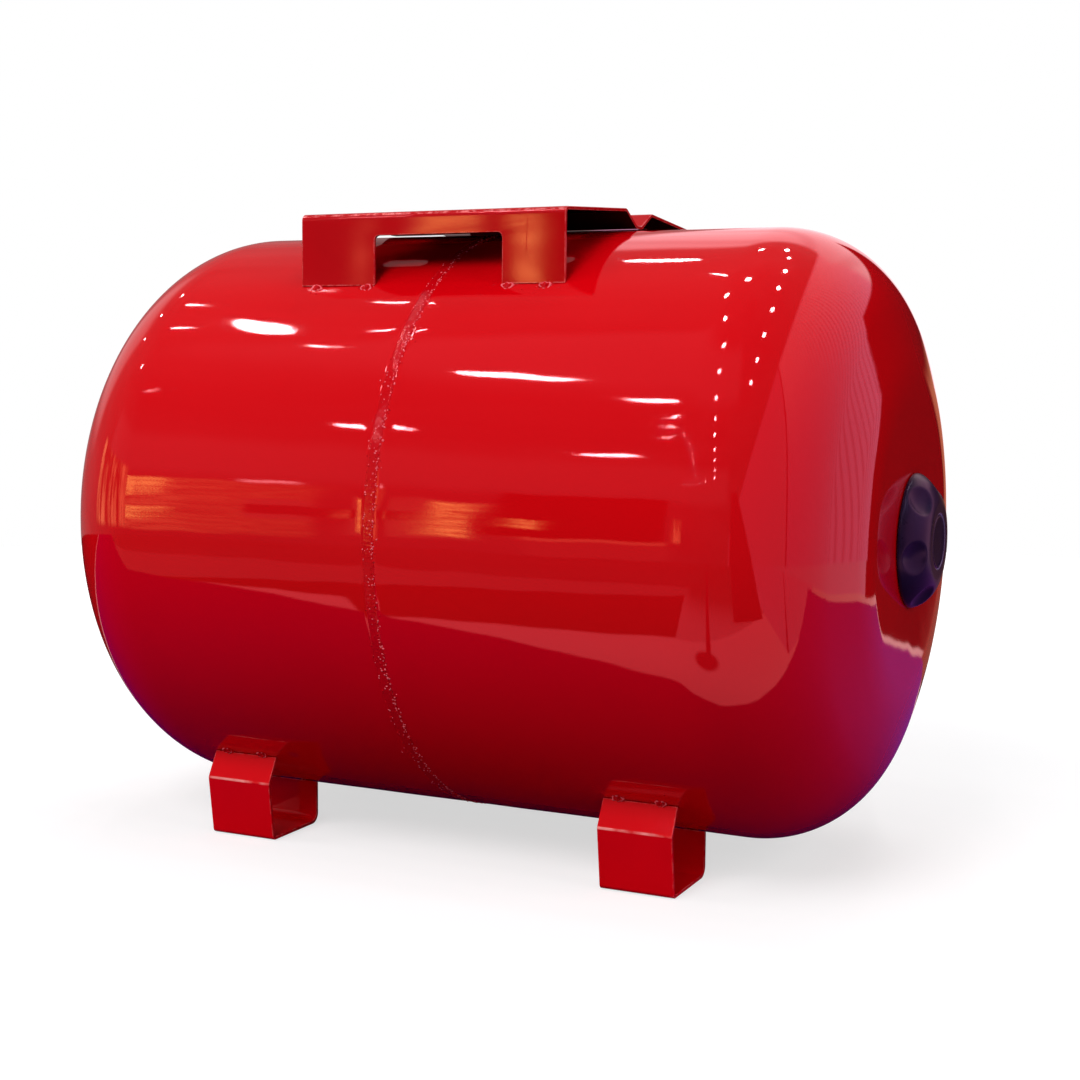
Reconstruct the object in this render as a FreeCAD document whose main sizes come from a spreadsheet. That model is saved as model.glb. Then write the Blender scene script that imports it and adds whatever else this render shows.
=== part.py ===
import FreeCAD, Part
import math
import os

import Sketcher

# A horizontal pressure tank: two deep-drawn half shells with a lapped girth weld, a bladder behind a
# bolted flange at the water end, an air valve under a plastic cover at the other end, a folded platform
# for a pump on top and four folded feet. X runs along the tank to the valve, Z is up, and the origin is
# on the floor, midway between the four feet.

os.makedirs("parts", exist_ok=True)
doc = FreeCAD.newDocument("pressure_tank")
sheet = doc.addObject("Spreadsheet::Sheet", "dims")
nodes = []


# Sizes and formulas

def amount(item):
    """The plain number of a size or a number."""
    return item.value if isinstance(item, Size) else float(item)


def formula(item):
    """The text that stands for a size or a number in an expression."""
    return item.text if isinstance(item, Size) else repr(float(item))


class Size:
    """A length in millimetres together with the formula that ties it to the sheet."""

    def __init__(self, value, text):
        self.value = value
        self.text = text

    def __add__(self, other):
        return Size(self.value + amount(other), f"({self.text} + {formula(other)})")

    def __sub__(self, other):
        return Size(self.value - amount(other), f"({self.text} - {formula(other)})")

    def __rsub__(self, other):
        return Size(amount(other) - self.value, f"({formula(other)} - {self.text})")

    def __mul__(self, other):
        return Size(self.value * amount(other), f"({self.text} * {formula(other)})")

    def __truediv__(self, other):
        return Size(self.value / amount(other), f"({self.text} / {formula(other)})")

    def __neg__(self):
        return Size(-self.value, f"(-{self.text})")

    __radd__ = __add__
    __rmul__ = __mul__


def root(item):
    """The square root of a size."""
    return Size(math.sqrt(item.value), f"sqrt({item.text})")


def other_side(long_side, short_side):
    """The third side of a right-angled triangle."""
    return root(long_side * long_side - short_side * short_side)


def turned(radius, degrees):
    """The two coordinates of a point on a circle, at an angle from the first axis."""
    across = Size(math.cos(math.radians(degrees)), f"cos({degrees} * 1 deg)")
    up = Size(math.sin(math.radians(degrees)), f"sin({degrees} * 1 deg)")
    return across * radius, up * radius


def size(name, value):
    """Write a driving size into the sheet and give it its name."""
    size.row += 1
    sheet.set(f"A{size.row}", name)
    sheet.set(f"B{size.row}", str(value))
    sheet.setAlias(f"B{size.row}", name)
    return Size(float(value), f"dims.{name}")


size.row = 0

# The vessel
tank_radius = size("tank_radius", 182.5)
shell_wall = size("shell_wall", 1.5)
half_cylinder = size("half_cylinder", 173.3)
knuckle_radius = size("knuckle_radius", 72.7)
crown_radius = size("crown_radius", 398)
flat_blend_radius = size("flat_blend_radius", 100.4)
flat_radius = size("flat_radius", 81.55)
ground_clearance = size("ground_clearance", 16.1)
axis_height = tank_radius + ground_clearance
middle_x = size("middle_x", 5.1)
weld_gap = size("weld_gap", 0.3)

# The lapped girth seam
seam_x = size("seam_x", -1.3)
bead_width = size("bead_width", 7.6)
bead_height = size("bead_height", 1.3)
lap_length = size("lap_length", 18)
joggle_run = size("joggle_run", 3)

# The pump platform
platform_length = size("platform_length", 174.6)
platform_x = size("platform_x", -3.3)
platform_half_width = size("platform_half_width", 110.3)
platform_sheet = size("platform_sheet", 2)
platform_bend = size("platform_bend", 2)
platform_rise = size("platform_rise", 6.1)
lip_rise = size("lip_rise", 6.6)
lip_half_gap = size("lip_half_gap", 20.5)
groove_half_floor = size("groove_half_floor", 4)
groove_rest = size("groove_rest", 1.6)
lip_bend = size("lip_bend", 3)
groove_bend = size("groove_bend", 5)
cutout_start = size("cutout_start", -36.7)
cutout_end = size("cutout_end", 47.5)
cutout_drop = size("cutout_drop", 13.5)
cutout_corner = size("cutout_corner", 3)
slot_length = size("slot_length", 32)
slot_radius = size("slot_radius", 5)
slot_spacing_along = size("slot_spacing_along", 100)
slot_spacing_across = size("slot_spacing_across", 130)

# The feet
foot_width = size("foot_width", 45.6)
foot_inset = size("foot_inset", 39.25)
foot_spacing = (half_cylinder - foot_inset) * 2
foot_sheet = size("foot_sheet", 2)
foot_bend = size("foot_bend", 4.5)
foot_front_bend = size("foot_front_bend", 1)
crease_bend = size("crease_bend", 0.8)
tab_top_y = size("tab_top_y", 109.8)
crease_y = size("crease_y", 118.5)
crease_height = size("crease_height", 36.9)
foot_front_y = size("foot_front_y", 113.3)
foot_rear_y = size("foot_rear_y", 61.5)
foot_hole_radius = size("foot_hole_radius", 4.5)
sheet_overrun = size("sheet_overrun", 6)

# Tack welds
tack_half_length = size("tack_half_length", 4.6)
tack_radius = size("tack_radius", 3.2)
platform_tack_inset_out = size("platform_tack_inset_out", 11.5)
platform_tack_inset_in = size("platform_tack_inset_in", 4.5)
foot_tack_spacing = size("foot_tack_spacing", 26)
tack_offset = size("tack_offset", 1.3)

# The water end
neck_height = size("neck_height", 14)
neck_radius = size("neck_radius", 45)
neck_wall = size("neck_wall", 3)
neck_depth = size("neck_depth", 5)
neck_weld_leg = size("neck_weld_leg", 5)
flange_radius = size("flange_radius", 75)
flange_plate = size("flange_plate", 4)
bolt_circle_radius = size("bolt_circle_radius", 63)
bolt_radius = size("bolt_radius", 4)
bolt_hole_gap = size("bolt_hole_gap", 0.5)
bolt_flats = size("bolt_flats", 13)
bolt_head = size("bolt_head", 5.3)
nut_height = size("nut_height", 6.5)
bolt_end = size("bolt_end", 2)
lip_plate = size("lip_plate", 3)
lip_radius = size("lip_radius", 56)
dish_radius = size("dish_radius", 50)
dish_floor_radius = size("dish_floor_radius", 42)
dish_depth = size("dish_depth", 5)
thread_radius = size("thread_radius", 16.62)
water_bore_radius = size("water_bore_radius", 13.5)
thread_length = size("thread_length", 20)
thread_chamfer = size("thread_chamfer", 1.2)
thread_runout = size("thread_runout", 1.2)
thread_collar_radius = size("thread_collar_radius", 21)
thread_collar = size("thread_collar", 3)

# The bladder
bladder_wall = size("bladder_wall", 2)
bladder_radius = size("bladder_radius", 120)
bladder_neck_end = size("bladder_neck_end", 22)
bladder_shoulder = size("bladder_shoulder", 50)
bladder_room = size("bladder_room", 106.6)
bladder_straight = half_cylinder * 2 - bladder_room

# The air valve
bush_radius = size("bush_radius", 11)
bush_rise = size("bush_rise", 6)
bush_depth = size("bush_depth", 6)
bush_bore_radius = size("bush_bore_radius", 6)
stem_gap = size("stem_gap", 0.1)
stem_flats = size("stem_flats", 14)
stem_nut = size("stem_nut", 2)
stem_radius = size("stem_radius", 3.85)
stem_rise = size("stem_rise", 12)
stem_bore_radius = size("stem_bore_radius", 2.2)
pin_radius = size("pin_radius", 0.8)
pin_gap = size("pin_gap", 0.06)
pin_guide_low = size("pin_guide_low", 2.2)
pin_guide_high = size("pin_guide_high", 4.2)
pin_seal_radius = size("pin_seal_radius", 1.9)
pin_seal = size("pin_seal", 0.9)
pin_short = size("pin_short", 0.3)
dust_cap_wall = size("dust_cap_wall", 1.1)
dust_cap_gap = size("dust_cap_gap", 0.1)
dust_cap_top = size("dust_cap_top", 0.8)

# The valve cover
cover_lift = size("cover_lift", 0.76)
cover_radius = size("cover_radius", 39.4)
cover_height = size("cover_height", 14.9)
cover_edge = size("cover_edge", 1.2)
cover_flat_radius = size("cover_flat_radius", 22)
cover_shoulder_radius = size("cover_shoulder_radius", 20)
cover_wall = size("cover_wall", 2)
cover_disc_radius = size("cover_disc_radius", 15.5)
cover_line_width = size("cover_line_width", 0.8)
cover_line_depth = size("cover_line_depth", 0.5)
dimple_radius = size("dimple_radius", 17)
dimple_depth = size("dimple_depth", 4)
dimple_count = 6
dimple_start = -12
dimple_lean = 42.5
socket_gap = size("socket_gap", 0.06)
socket_end = size("socket_end", 1.5)
doc.recompute()


# Drawing helpers

def tie(target, name, item):
    """Set a property and bind it to the sheet where it is a size."""
    setattr(target, name, amount(item))
    if isinstance(item, Size):
        target.setExpression(name, item.text)


def place(item, x=None, y=None, z=None):
    """Bind a piece's position."""
    for axis, distance in (("x", x), ("y", y), ("z", z)):
        if distance is not None:
            item.setExpression(f"Placement.Base.{axis}", formula(distance))


def new_body(label, x=None, y=None, z=axis_height):
    """Start a piece; most stand at the height of the tank's axis."""
    body = doc.addObject("PartDesign::Body", label)
    body.Label = label
    place(body, x, y, z)
    nodes.append(body)
    return body


def new_sketch(body, role):
    """Start a sketch on one of the body's own planes."""
    sketch = body.newObject("Sketcher::SketchObject", f"{body.Name}_sketch")
    plane = [item for item in body.Origin.OriginFeatures if item.Role == role][0]
    sketch.AttachmentSupport = [(plane, "")]
    sketch.MapMode = "FlatFace"
    return sketch


def constrain(sketch, kind, *items):
    """Add a constraint whose last item is its size, bound to the sheet."""
    *places, last = items
    index = sketch.addConstraint(Sketcher.Constraint(kind, *places, amount(last)))
    if isinstance(last, Size):
        sketch.setExpression(f"Constraints[{index}]", last.text)


def pin_point(sketch, side, end, corner):
    """Hold a point at its two coordinates."""
    for kind, axis, distance in (("DistanceX", -2, corner[0]), ("DistanceY", -1, corner[1])):
        if isinstance(distance, Size):
            constrain(sketch, kind, -1, 1, side, end, distance)
        elif distance == 0:
            sketch.addConstraint(Sketcher.Constraint("PointOnObject", side, end, axis))


def vector(corner):
    """A corner as a plain point of its sketch."""
    return FreeCAD.Vector(amount(corner[0]), amount(corner[1]), 0)


def arc_side(start, end, radius, turn):
    """The smaller arc from start to end, anticlockwise for turn 1."""
    chord = end - start
    rise = math.sqrt(max(radius ** 2 - chord.Length ** 2 / 4, 0))
    left = FreeCAD.Vector(-chord.y, chord.x, 0).normalize()
    centre = (start + end) * 0.5 + left * rise * turn
    angles = [math.atan2(p.y - centre.y, p.x - centre.x) for p in (start, end)[::turn]]
    return Part.ArcOfCircle(Part.Circle(centre, FreeCAD.Vector(0, 0, 1), radius), *angles)


def outline(sketch, corners):
    """Close an outline; a corner that adds a radius and a turn starts an arc."""
    first = sketch.GeometryCount
    following = corners[1:] + corners[:1]
    ends = []
    for corner, after in zip(corners, following):
        if len(corner) == 2:
            sketch.addGeometry(Part.LineSegment(vector(corner), vector(after)), False)
            ends.append((1, 2))
        else:
            side = arc_side(vector(corner), vector(after), amount(corner[2]), corner[3])
            sketch.addGeometry(side, False)
            ends.append((1, 2)[::corner[3]])
    for i, corner in enumerate(corners):
        after = (i + 1) % len(corners)
        joint = Sketcher.Constraint("Coincident", first + i, ends[i][1], first + after, ends[after][0])
        sketch.addConstraint(joint)
        pin_point(sketch, first + i, ends[i][0], corner)
        if len(corner) > 2:
            constrain(sketch, "Radius", first + i, corner[2])


def circle(sketch, centre, radius):
    """Draw a circle."""
    side = sketch.addGeometry(Part.Circle(vector(centre), FreeCAD.Vector(0, 0, 1), amount(radius)), False)
    pin_point(sketch, side, 3, centre)
    constrain(sketch, "Radius", side, radius)


def hexagon(sketch, flats):
    """Draw a hexagon about the middle of a sketch, from its size across the flats."""
    corner_radius = flats / math.sqrt(3)
    outline(sketch, [turned(corner_radius, 60 * k + 30) for k in range(6)])


def slot(sketch, x, y, half_run, radius):
    """Draw a slot along X: two round ends and the straight sides that meet them smoothly."""
    middle = vector((x, y))
    run = FreeCAD.Vector(amount(half_run), 0, 0)
    rise = FreeCAD.Vector(0, amount(radius), 0)
    first = sketch.GeometryCount
    up = FreeCAD.Vector(0, 0, 1)
    sketch.addGeometry(Part.LineSegment(middle - run - rise, middle + run - rise), False)
    round_end = Part.Circle(middle + run, up, amount(radius))
    sketch.addGeometry(Part.ArcOfCircle(round_end, -math.pi / 2, math.pi / 2), False)
    sketch.addGeometry(Part.LineSegment(middle + run + rise, middle - run + rise), False)
    round_end = Part.Circle(middle - run, up, amount(radius))
    sketch.addGeometry(Part.ArcOfCircle(round_end, math.pi / 2, math.pi * 3 / 2), False)
    for side in range(4):
        joint = Sketcher.Constraint("Tangent", first + side, 2, first + (side + 1) % 4, 1)
        sketch.addConstraint(joint)
    pin_point(sketch, first + 1, 3, (x + half_run, y))
    pin_point(sketch, first + 3, 3, (x - half_run, y))
    sketch.addConstraint(Sketcher.Constraint("Equal", first + 1, first + 3))
    constrain(sketch, "Radius", first + 1, radius)


def rectangle(sketch, low, high):
    """Draw a rectangle between two corners."""
    outline(sketch, [low, (high[0], low[1]), high, (low[0], high[1])])


def revolve(body, corners, kind="PartDesign::Revolution"):
    """Turn an outline of lengths along the axis and radii about the X axis."""
    sketch = new_sketch(body, "XZ_Plane")
    outline(sketch, corners)
    feature = body.newObject(kind, f"{body.Name}_turned")
    feature.Profile = sketch
    feature.ReferenceAxis = (sketch, ["H_Axis"])
    feature.Angle = 360
    return feature


def extrude(body, sketch, length, kind="PartDesign::Pad", both_ways=True, backwards=False):
    """Pad or pocket a sketch over a length."""
    feature = body.newObject(kind, f"{body.Name}_extruded")
    feature.Profile = sketch
    feature.SideType = "Symmetric" if both_ways else "One side"
    feature.Reversed = backwards
    tie(feature, "Length", length)
    return feature


def edges_where(feature, test):
    """The names of a feature's edges that pass a test."""
    return [f"Edge{i}" for i, edge in enumerate(feature.Shape.Edges, 1) if test(edge)]


def soften(body, feature, test, radius, kind="PartDesign::Fillet", length="Radius"):
    """Round or chamfer the edges that pass a test."""
    doc.recompute()
    softened = body.newObject(kind, f"{body.Name}_edges")
    softened.Base = (feature, edges_where(feature, test))
    tie(softened, length, radius)
    return softened


def runs_along_x(edge, y, z):
    """Whether an edge is straight along X through the point y, z."""
    ends = [vertex.Point for vertex in edge.Vertexes]
    return len(ends) == 2 and all(math.hypot(p.y - y, p.z - z) < 0.01 for p in ends)


def folded_sheet(body, path, thickness, bends, length):
    """Fold a strip: the path is its outer side, the sheet lies to its left, one inner radius a bend."""
    sketch = new_sketch(body, "YZ_Plane")
    points = [vector(corner) for corner in path]
    steps = [(after - before).normalize() for before, after in zip(points, points[1:])]
    lefts = [FreeCAD.Vector(-step.y, step.x, 0) for step in steps]
    shifts = [lefts[0]]
    for before, after in zip(lefts, lefts[1:]):
        shifts.append((before + after) * (1 / (1 + before.dot(after))))
    shifts.append(lefts[-1])
    inner = [point + shift * amount(thickness) for point, shift in zip(points, shifts)]
    ring = points + inner[::-1]
    for start, end in zip(ring, ring[1:] + ring[:1]):
        sketch.addGeometry(Part.LineSegment(start, end), False)
    count = len(points)
    for side in range(2 * count):
        after = (side + 1) % (2 * count)
        sketch.addConstraint(Sketcher.Constraint("Coincident", side, 2, after, 1))
    for side, corner in enumerate(path[:-1]):
        pin_point(sketch, side, 1, corner)
        inner_side = 2 * count - 2 - side
        sketch.addConstraint(Sketcher.Constraint("Parallel", side, inner_side))
        constrain(sketch, "Distance", inner_side, 1, side, thickness)
    pin_point(sketch, count - 2, 2, path[-1])
    sketch.addConstraint(Sketcher.Constraint("Perpendicular", count - 2, count - 1))
    sketch.addConstraint(Sketcher.Constraint("Perpendicular", 0, 2 * count - 1))
    feature = extrude(body, sketch, length)
    for radius in dict.fromkeys(bends):
        for outside in (False, True):
            spots = []
            for i, bend in enumerate(bends, 1):
                left_turn = steps[i - 1].cross(steps[i]).z > 0
                if bend is radius:
                    spots.append(points[i] if left_turn == outside else inner[i])
            feature = soften(body, feature,
                             lambda edge: any(runs_along_x(edge, p.x, p.y) for p in spots),
                             radius + thickness if outside else radius)
    return feature


def clear_of_tank(body, length):
    """Trim a sheet that was drawn too long back to the tank's round wall."""
    sketch = new_sketch(body, "YZ_Plane")
    circle(sketch, (0, 0), tank_radius + weld_gap)
    return extrude(body, sketch, length, "PartDesign::Pocket")


# Vessel

lap_step = shell_wall + weld_gap
lap_edge_x = seam_x - bead_width / 2
shoulder_x = seam_x + bead_width / 2
crown_span = other_side(crown_radius - knuckle_radius, tank_radius - knuckle_radius)
blend_span = other_side(crown_radius - flat_blend_radius, flat_radius)
water_crown_x = middle_x - half_cylinder + crown_span
water_apex_x = water_crown_x - crown_radius
air_face_x = middle_x + half_cylinder - crown_span + blend_span + flat_blend_radius


def head_lines(side, port_radius, flattened):
    """A head's outer line from the cylinder to its port, and its inner line back."""
    knuckle_x = middle_x + side * half_cylinder
    crown_x = knuckle_x - side * crown_span
    lines = []
    for inset in (0, shell_wall):
        share = (crown_radius - inset) / (crown_radius - knuckle_radius)
        line = [(knuckle_x, tank_radius - inset, knuckle_radius - inset),
                (crown_x + side * crown_span * share, (tank_radius - knuckle_radius) * share,
                 crown_radius - inset)]
        if flattened:
            share = (crown_radius - inset) / (crown_radius - flat_blend_radius)
            line.append((crown_x + blend_span * share, flat_radius * share, flat_blend_radius - inset))
            line.append((air_face_x - inset, flat_radius))
            line.append((air_face_x - inset, port_radius))
        else:
            port_rise = other_side(crown_radius - inset, port_radius)
            line.append((crown_x + side * port_rise, port_radius))
        lines.append(line)
    outer, inner = lines
    going_out = [corner + (-side,) if len(corner) == 3 else corner for corner in outer]
    coming_back = [corner[:2] for corner in inner[::-1]]
    radii = [corner[2] if len(corner) == 3 else None for corner in inner[:-1]][::-1]
    for i, radius in enumerate(radii):
        if radius is not None:
            coming_back[i] = coming_back[i] + (radius, side)
    return going_out + coming_back


shell_water = new_body("shell_water_side")
revolve(shell_water, head_lines(-1, neck_radius + weld_gap, False)
        + [(lap_edge_x, tank_radius - shell_wall), (lap_edge_x, tank_radius)])

# The air side's rim steps inwards by its own wall, so that the water side's rim slides over it.
lap_run_shift = (root(joggle_run * joggle_run + lap_step * lap_step) - joggle_run) / lap_step * shell_wall
shell_air = new_body("shell_air_side")
revolve(shell_air, head_lines(1, bush_radius + weld_gap, True)
        + [(shoulder_x + lap_run_shift, tank_radius - shell_wall),
           (shoulder_x - joggle_run + lap_run_shift, tank_radius - lap_step - shell_wall),
           (shoulder_x - lap_length, tank_radius - lap_step - shell_wall),
           (shoulder_x - lap_length, tank_radius - lap_step),
           (shoulder_x - joggle_run, tank_radius - lap_step),
           (shoulder_x, tank_radius)])

half_bead = bead_width / 2
bead_arc = (half_bead * half_bead + bead_height * bead_height) / (bead_height * 2)
girth_weld = new_body("girth_weld")
revolve(girth_weld, [(lap_edge_x, tank_radius - shell_wall),
                     (lap_edge_x, tank_radius, bead_arc, -1),
                     (shoulder_x, tank_radius),
                     (shoulder_x - joggle_run, tank_radius - shell_wall)])


# Pump platform

flange_top = tank_radius + platform_rise
lip_height = flange_top + lip_rise
cutout_top = flange_top - cutout_drop


def platform():
    """Fold the platform, trim its flanges to the tank, cut the flanges and slot the top."""
    body = new_body("pump_platform", platform_x)
    groove_floor = tank_radius + groove_rest + platform_sheet
    flange_foot = other_side(tank_radius, platform_half_width) - sheet_overrun
    half = [(platform_half_width, flange_foot), (platform_half_width, flange_top),
            (lip_half_gap, lip_height), (groove_half_floor, groove_floor)]
    path = half + [(-y, z) for y, z in half[::-1]]
    bends = [platform_bend, lip_bend, groove_bend, groove_bend, lip_bend, platform_bend]
    folded_sheet(body, path, platform_sheet, bends, platform_length)
    clear_of_tank(body, platform_length * 2)
    sketch = new_sketch(body, "XZ_Plane")
    rectangle(sketch, (cutout_start, flange_foot - sheet_overrun), (cutout_end, cutout_top))
    flanges = extrude(body, sketch, platform_half_width * 3, "PartDesign::Pocket")
    flanges = soften(body, flanges, is_cutout_corner, cutout_corner)
    sketch = new_sketch(body, "XY_Plane")
    half_slot = slot_length / 2 - slot_radius
    for x in (-slot_spacing_along / 2, slot_spacing_along / 2):
        for y in (-slot_spacing_across / 2, slot_spacing_across / 2):
            slot(sketch, x, y, half_slot, slot_radius)
    extrude(body, sketch, lip_height * 3, "PartDesign::Pocket")
    return body


def is_cutout_corner(edge):
    """Whether an edge runs through a flange at an upper corner of its cut-out."""
    ends = [vertex.Point for vertex in edge.Vertexes]
    if len(ends) != 2 or abs(ends[0].x - ends[1].x) > 0.01:
        return False
    at_side = min(abs(ends[0].x - cutout_start.value), abs(ends[0].x - cutout_end.value)) < 0.01
    return at_side and all(abs(point.z - cutout_top.value) < 0.01 for point in ends)


pump_platform = platform()


# Feet

crease_drop = axis_height - crease_height


def foot(label, along, across):
    """Fold one foot: a tab against the tank, a leaning front wall, the floor and a rear wall."""
    body = new_body(label, foot_spacing / 2 * along)
    tab_top_z = -other_side(tank_radius, tab_top_y)
    rear_top_z = -other_side(tank_radius, foot_rear_y) + sheet_overrun
    tab_run = root((crease_y - tab_top_y) * (crease_y - tab_top_y)
                   + (crease_drop + tab_top_z) * (crease_drop + tab_top_z))
    overrun_share = sheet_overrun / tab_run
    path = [(tab_top_y - (crease_y - tab_top_y) * overrun_share,
             tab_top_z + (crease_drop + tab_top_z) * overrun_share),
            (crease_y, -crease_drop),
            (foot_front_y, -axis_height),
            (foot_rear_y, -axis_height),
            (foot_rear_y, rear_top_z)]
    bends = [crease_bend, foot_front_bend, foot_bend]
    if across < 0:
        path = [(-y, z) for y, z in path]
    if across > 0:
        path = path[::-1]
        bends = bends[::-1]
    folded_sheet(body, path, foot_sheet, bends, foot_width)
    clear_of_tank(body, foot_width * 2)
    sketch = new_sketch(body, "XY_Plane")
    circle(sketch, (0, (foot_front_y + foot_rear_y) / 2 * across), foot_hole_radius)
    extrude(body, sketch, axis_height * 3, "PartDesign::Pocket")
    return body


feet = {}
for along, along_name in ((-1, "left"), (1, "right")):
    for across, across_name in ((-1, "front"), (1, "rear")):
        feet[along, across] = foot(f"foot_{across_name}_{along_name}", along, across)


# Tack welds

def tacks(label, spots, carrier):
    """Lay weld tacks at spots on the tank's wall, trimmed to the wall and to the sheet they hold."""
    lumps = []
    for i, (x, y, z) in enumerate(spots, 1):
        lump = doc.addObject("Part::Ellipsoid", f"{label}_lump_{i}")
        tie(lump, "Radius1", tack_radius)
        tie(lump, "Radius2", tack_half_length)
        tie(lump, "Radius3", tack_radius)
        place(lump, x, y, axis_height + z)
        lumps.append(lump)
    joined = doc.addObject("Part::MultiFuse", f"{label}_lumps")
    joined.Shapes = lumps
    wall = doc.addObject("Part::Cylinder", f"{label}_wall")
    tie(wall, "Radius", tank_radius + weld_gap)
    tie(wall, "Height", half_cylinder * 2)
    wall.Placement = FreeCAD.Placement(FreeCAD.Vector(), FreeCAD.Rotation(FreeCAD.Vector(0, 1, 0), 90))
    place(wall, middle_x - half_cylinder, 0, axis_height)
    trimmed = doc.addObject("Part::Cut", f"{label}_trimmed")
    trimmed.Base = joined
    trimmed.Tool = wall
    welds = doc.addObject("Part::Cut", label)
    welds.Label = label
    welds.Base = trimmed
    welds.Tool = carrier
    nodes.append(welds)


platform_ends = (platform_x - platform_length / 2, platform_x + platform_length / 2)
platform_tack_xs = (platform_ends[0] + platform_tack_inset_out, platform_x + cutout_start - platform_tack_inset_in,
                    platform_x + cutout_end + platform_tack_inset_in, platform_ends[1] - platform_tack_inset_out)
platform_tack_y = platform_half_width + tack_offset
platform_tack_z = other_side(tank_radius, platform_tack_y)
for across, name in ((-1, "front"), (1, "rear")):
    tacks(f"platform_welds_{name}",
          [(x, platform_tack_y * across, platform_tack_z) for x in platform_tack_xs], pump_platform)

for (along, across), carrier in feet.items():
    spots = []
    for y in (tab_top_y + tack_offset, foot_rear_y - tack_offset):
        for step in (-1, 1):
            spots.append((foot_spacing / 2 * along + foot_tack_spacing / 2 * step, y * across,
                          -other_side(tank_radius, y)))
    tacks(carrier.Name.replace("foot_", "foot_welds_"), spots, carrier)


# Water end

neck_back_x = water_apex_x - neck_height
neck_face_x = neck_back_x - flange_plate
counter_face_x = neck_face_x - lip_plate
dish_floor_x = counter_face_x - dish_depth
bolt_hole_radius = bolt_radius + bolt_hole_gap
thread_neck_radius = thread_radius - thread_chamfer
thread_start_x = dish_floor_x - flange_plate - thread_runout


def bolt_holes(body):
    """Drill the ring of bolt holes."""
    sketch = new_sketch(body, "YZ_Plane")
    for k in range(6):
        circle(sketch, turned(bolt_circle_radius, 60 * k + 30), bolt_hole_radius)
    extrude(body, sketch, -water_apex_x * 4, "PartDesign::Pocket")


def shell_x_at(radius, inset):
    """Where the water end's crown has a radius, on its outer or inner side."""
    return water_crown_x - other_side(crown_radius - inset, radius)


neck_collar = new_body("neck_collar")
neck_inner = neck_radius - neck_wall
revolve(neck_collar, [(neck_face_x, neck_inner), (shell_x_at(neck_radius, shell_wall) + neck_depth, neck_inner),
                      (shell_x_at(neck_radius, shell_wall) + neck_depth, neck_radius),
                      (neck_back_x, neck_radius), (neck_back_x, flange_radius), (neck_face_x, flange_radius)])
bolt_holes(neck_collar)

neck_weld = new_body("neck_weld")
neck_weld_foot = neck_radius + weld_gap
revolve(neck_weld, [(shell_x_at(neck_weld_foot, 0) - weld_gap, neck_weld_foot),
                    (shell_x_at(neck_weld_foot, 0) - neck_weld_leg, neck_weld_foot, neck_weld_leg * 1.6, -1),
                    (shell_x_at(neck_weld_foot + neck_weld_leg, 0) - weld_gap, neck_weld_foot + neck_weld_leg)])

counter_flange = new_body("counter_flange")
counter_rim = revolve(counter_flange, [
    (counter_face_x, flange_radius), (counter_face_x, dish_radius), (dish_floor_x, dish_floor_radius),
    (dish_floor_x, thread_neck_radius + weld_gap), (dish_floor_x - flange_plate, thread_neck_radius + weld_gap),
    (dish_floor_x - flange_plate, dish_floor_radius), (counter_face_x - flange_plate, dish_radius),
    (counter_face_x - flange_plate, flange_radius)])
bolt_holes(counter_flange)

water_connection = new_body("water_connection")
thread_end_x = dish_floor_x - flange_plate - thread_length
revolve(water_connection, [
    (dish_floor_x + thread_collar, water_bore_radius), (dish_floor_x + thread_collar, thread_collar_radius),
    (dish_floor_x, thread_collar_radius), (dish_floor_x, thread_neck_radius),
    (thread_start_x, thread_neck_radius), (thread_start_x, thread_radius),
    (thread_end_x + thread_chamfer, thread_radius), (thread_end_x, thread_neck_radius),
    (thread_end_x, water_bore_radius)])

for k in range(6):
    bolt_y, bolt_z = turned(bolt_circle_radius, 60 * k + 30)
    bolt = new_body(f"flange_bolt_{k + 1}", counter_face_x - flange_plate, bolt_y, axis_height + bolt_z)
    head = new_sketch(bolt, "YZ_Plane")
    hexagon(head, bolt_flats)
    extrude(bolt, head, bolt_head, both_ways=False, backwards=True)
    shank = new_sketch(bolt, "YZ_Plane")
    circle(shank, (0, 0), bolt_radius)
    extrude(bolt, shank, flange_plate * 2 + lip_plate + nut_height + bolt_end, both_ways=False)
    nut = new_body(f"flange_nut_{k + 1}", neck_back_x, bolt_y, axis_height + bolt_z)
    hexagonal = new_sketch(nut, "YZ_Plane")
    hexagon(hexagonal, bolt_flats)
    circle(hexagonal, (0, 0), bolt_radius + pin_gap)
    extrude(nut, hexagonal, nut_height, both_ways=False)


# Bladder

bladder = new_body("bladder")
bladder_neck_radius = neck_inner - weld_gap
shoulder_end_x = water_apex_x + bladder_neck_end + bladder_shoulder
round_x = shoulder_end_x + bladder_straight
revolve(bladder, [
    (counter_face_x, lip_radius), (neck_face_x, lip_radius), (neck_face_x, bladder_neck_radius),
    (water_apex_x + bladder_neck_end, bladder_neck_radius), (shoulder_end_x, bladder_radius),
    (round_x, bladder_radius, bladder_radius, -1), (round_x + bladder_radius, 0),
    (round_x + bladder_radius - bladder_wall, 0, bladder_radius - bladder_wall, 1),
    (round_x, bladder_radius - bladder_wall), (shoulder_end_x, bladder_radius - bladder_wall),
    (water_apex_x + bladder_neck_end, bladder_neck_radius - bladder_wall),
    (counter_face_x, bladder_neck_radius - bladder_wall)])


# Air valve

bush_top_x = air_face_x + bush_rise
bush_foot_x = air_face_x - bush_depth
valve_bush = new_body("valve_bush")
revolve(valve_bush, [(bush_foot_x, bush_bore_radius), (bush_top_x, bush_bore_radius),
                     (bush_top_x, bush_radius), (bush_foot_x, bush_radius)])

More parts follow.
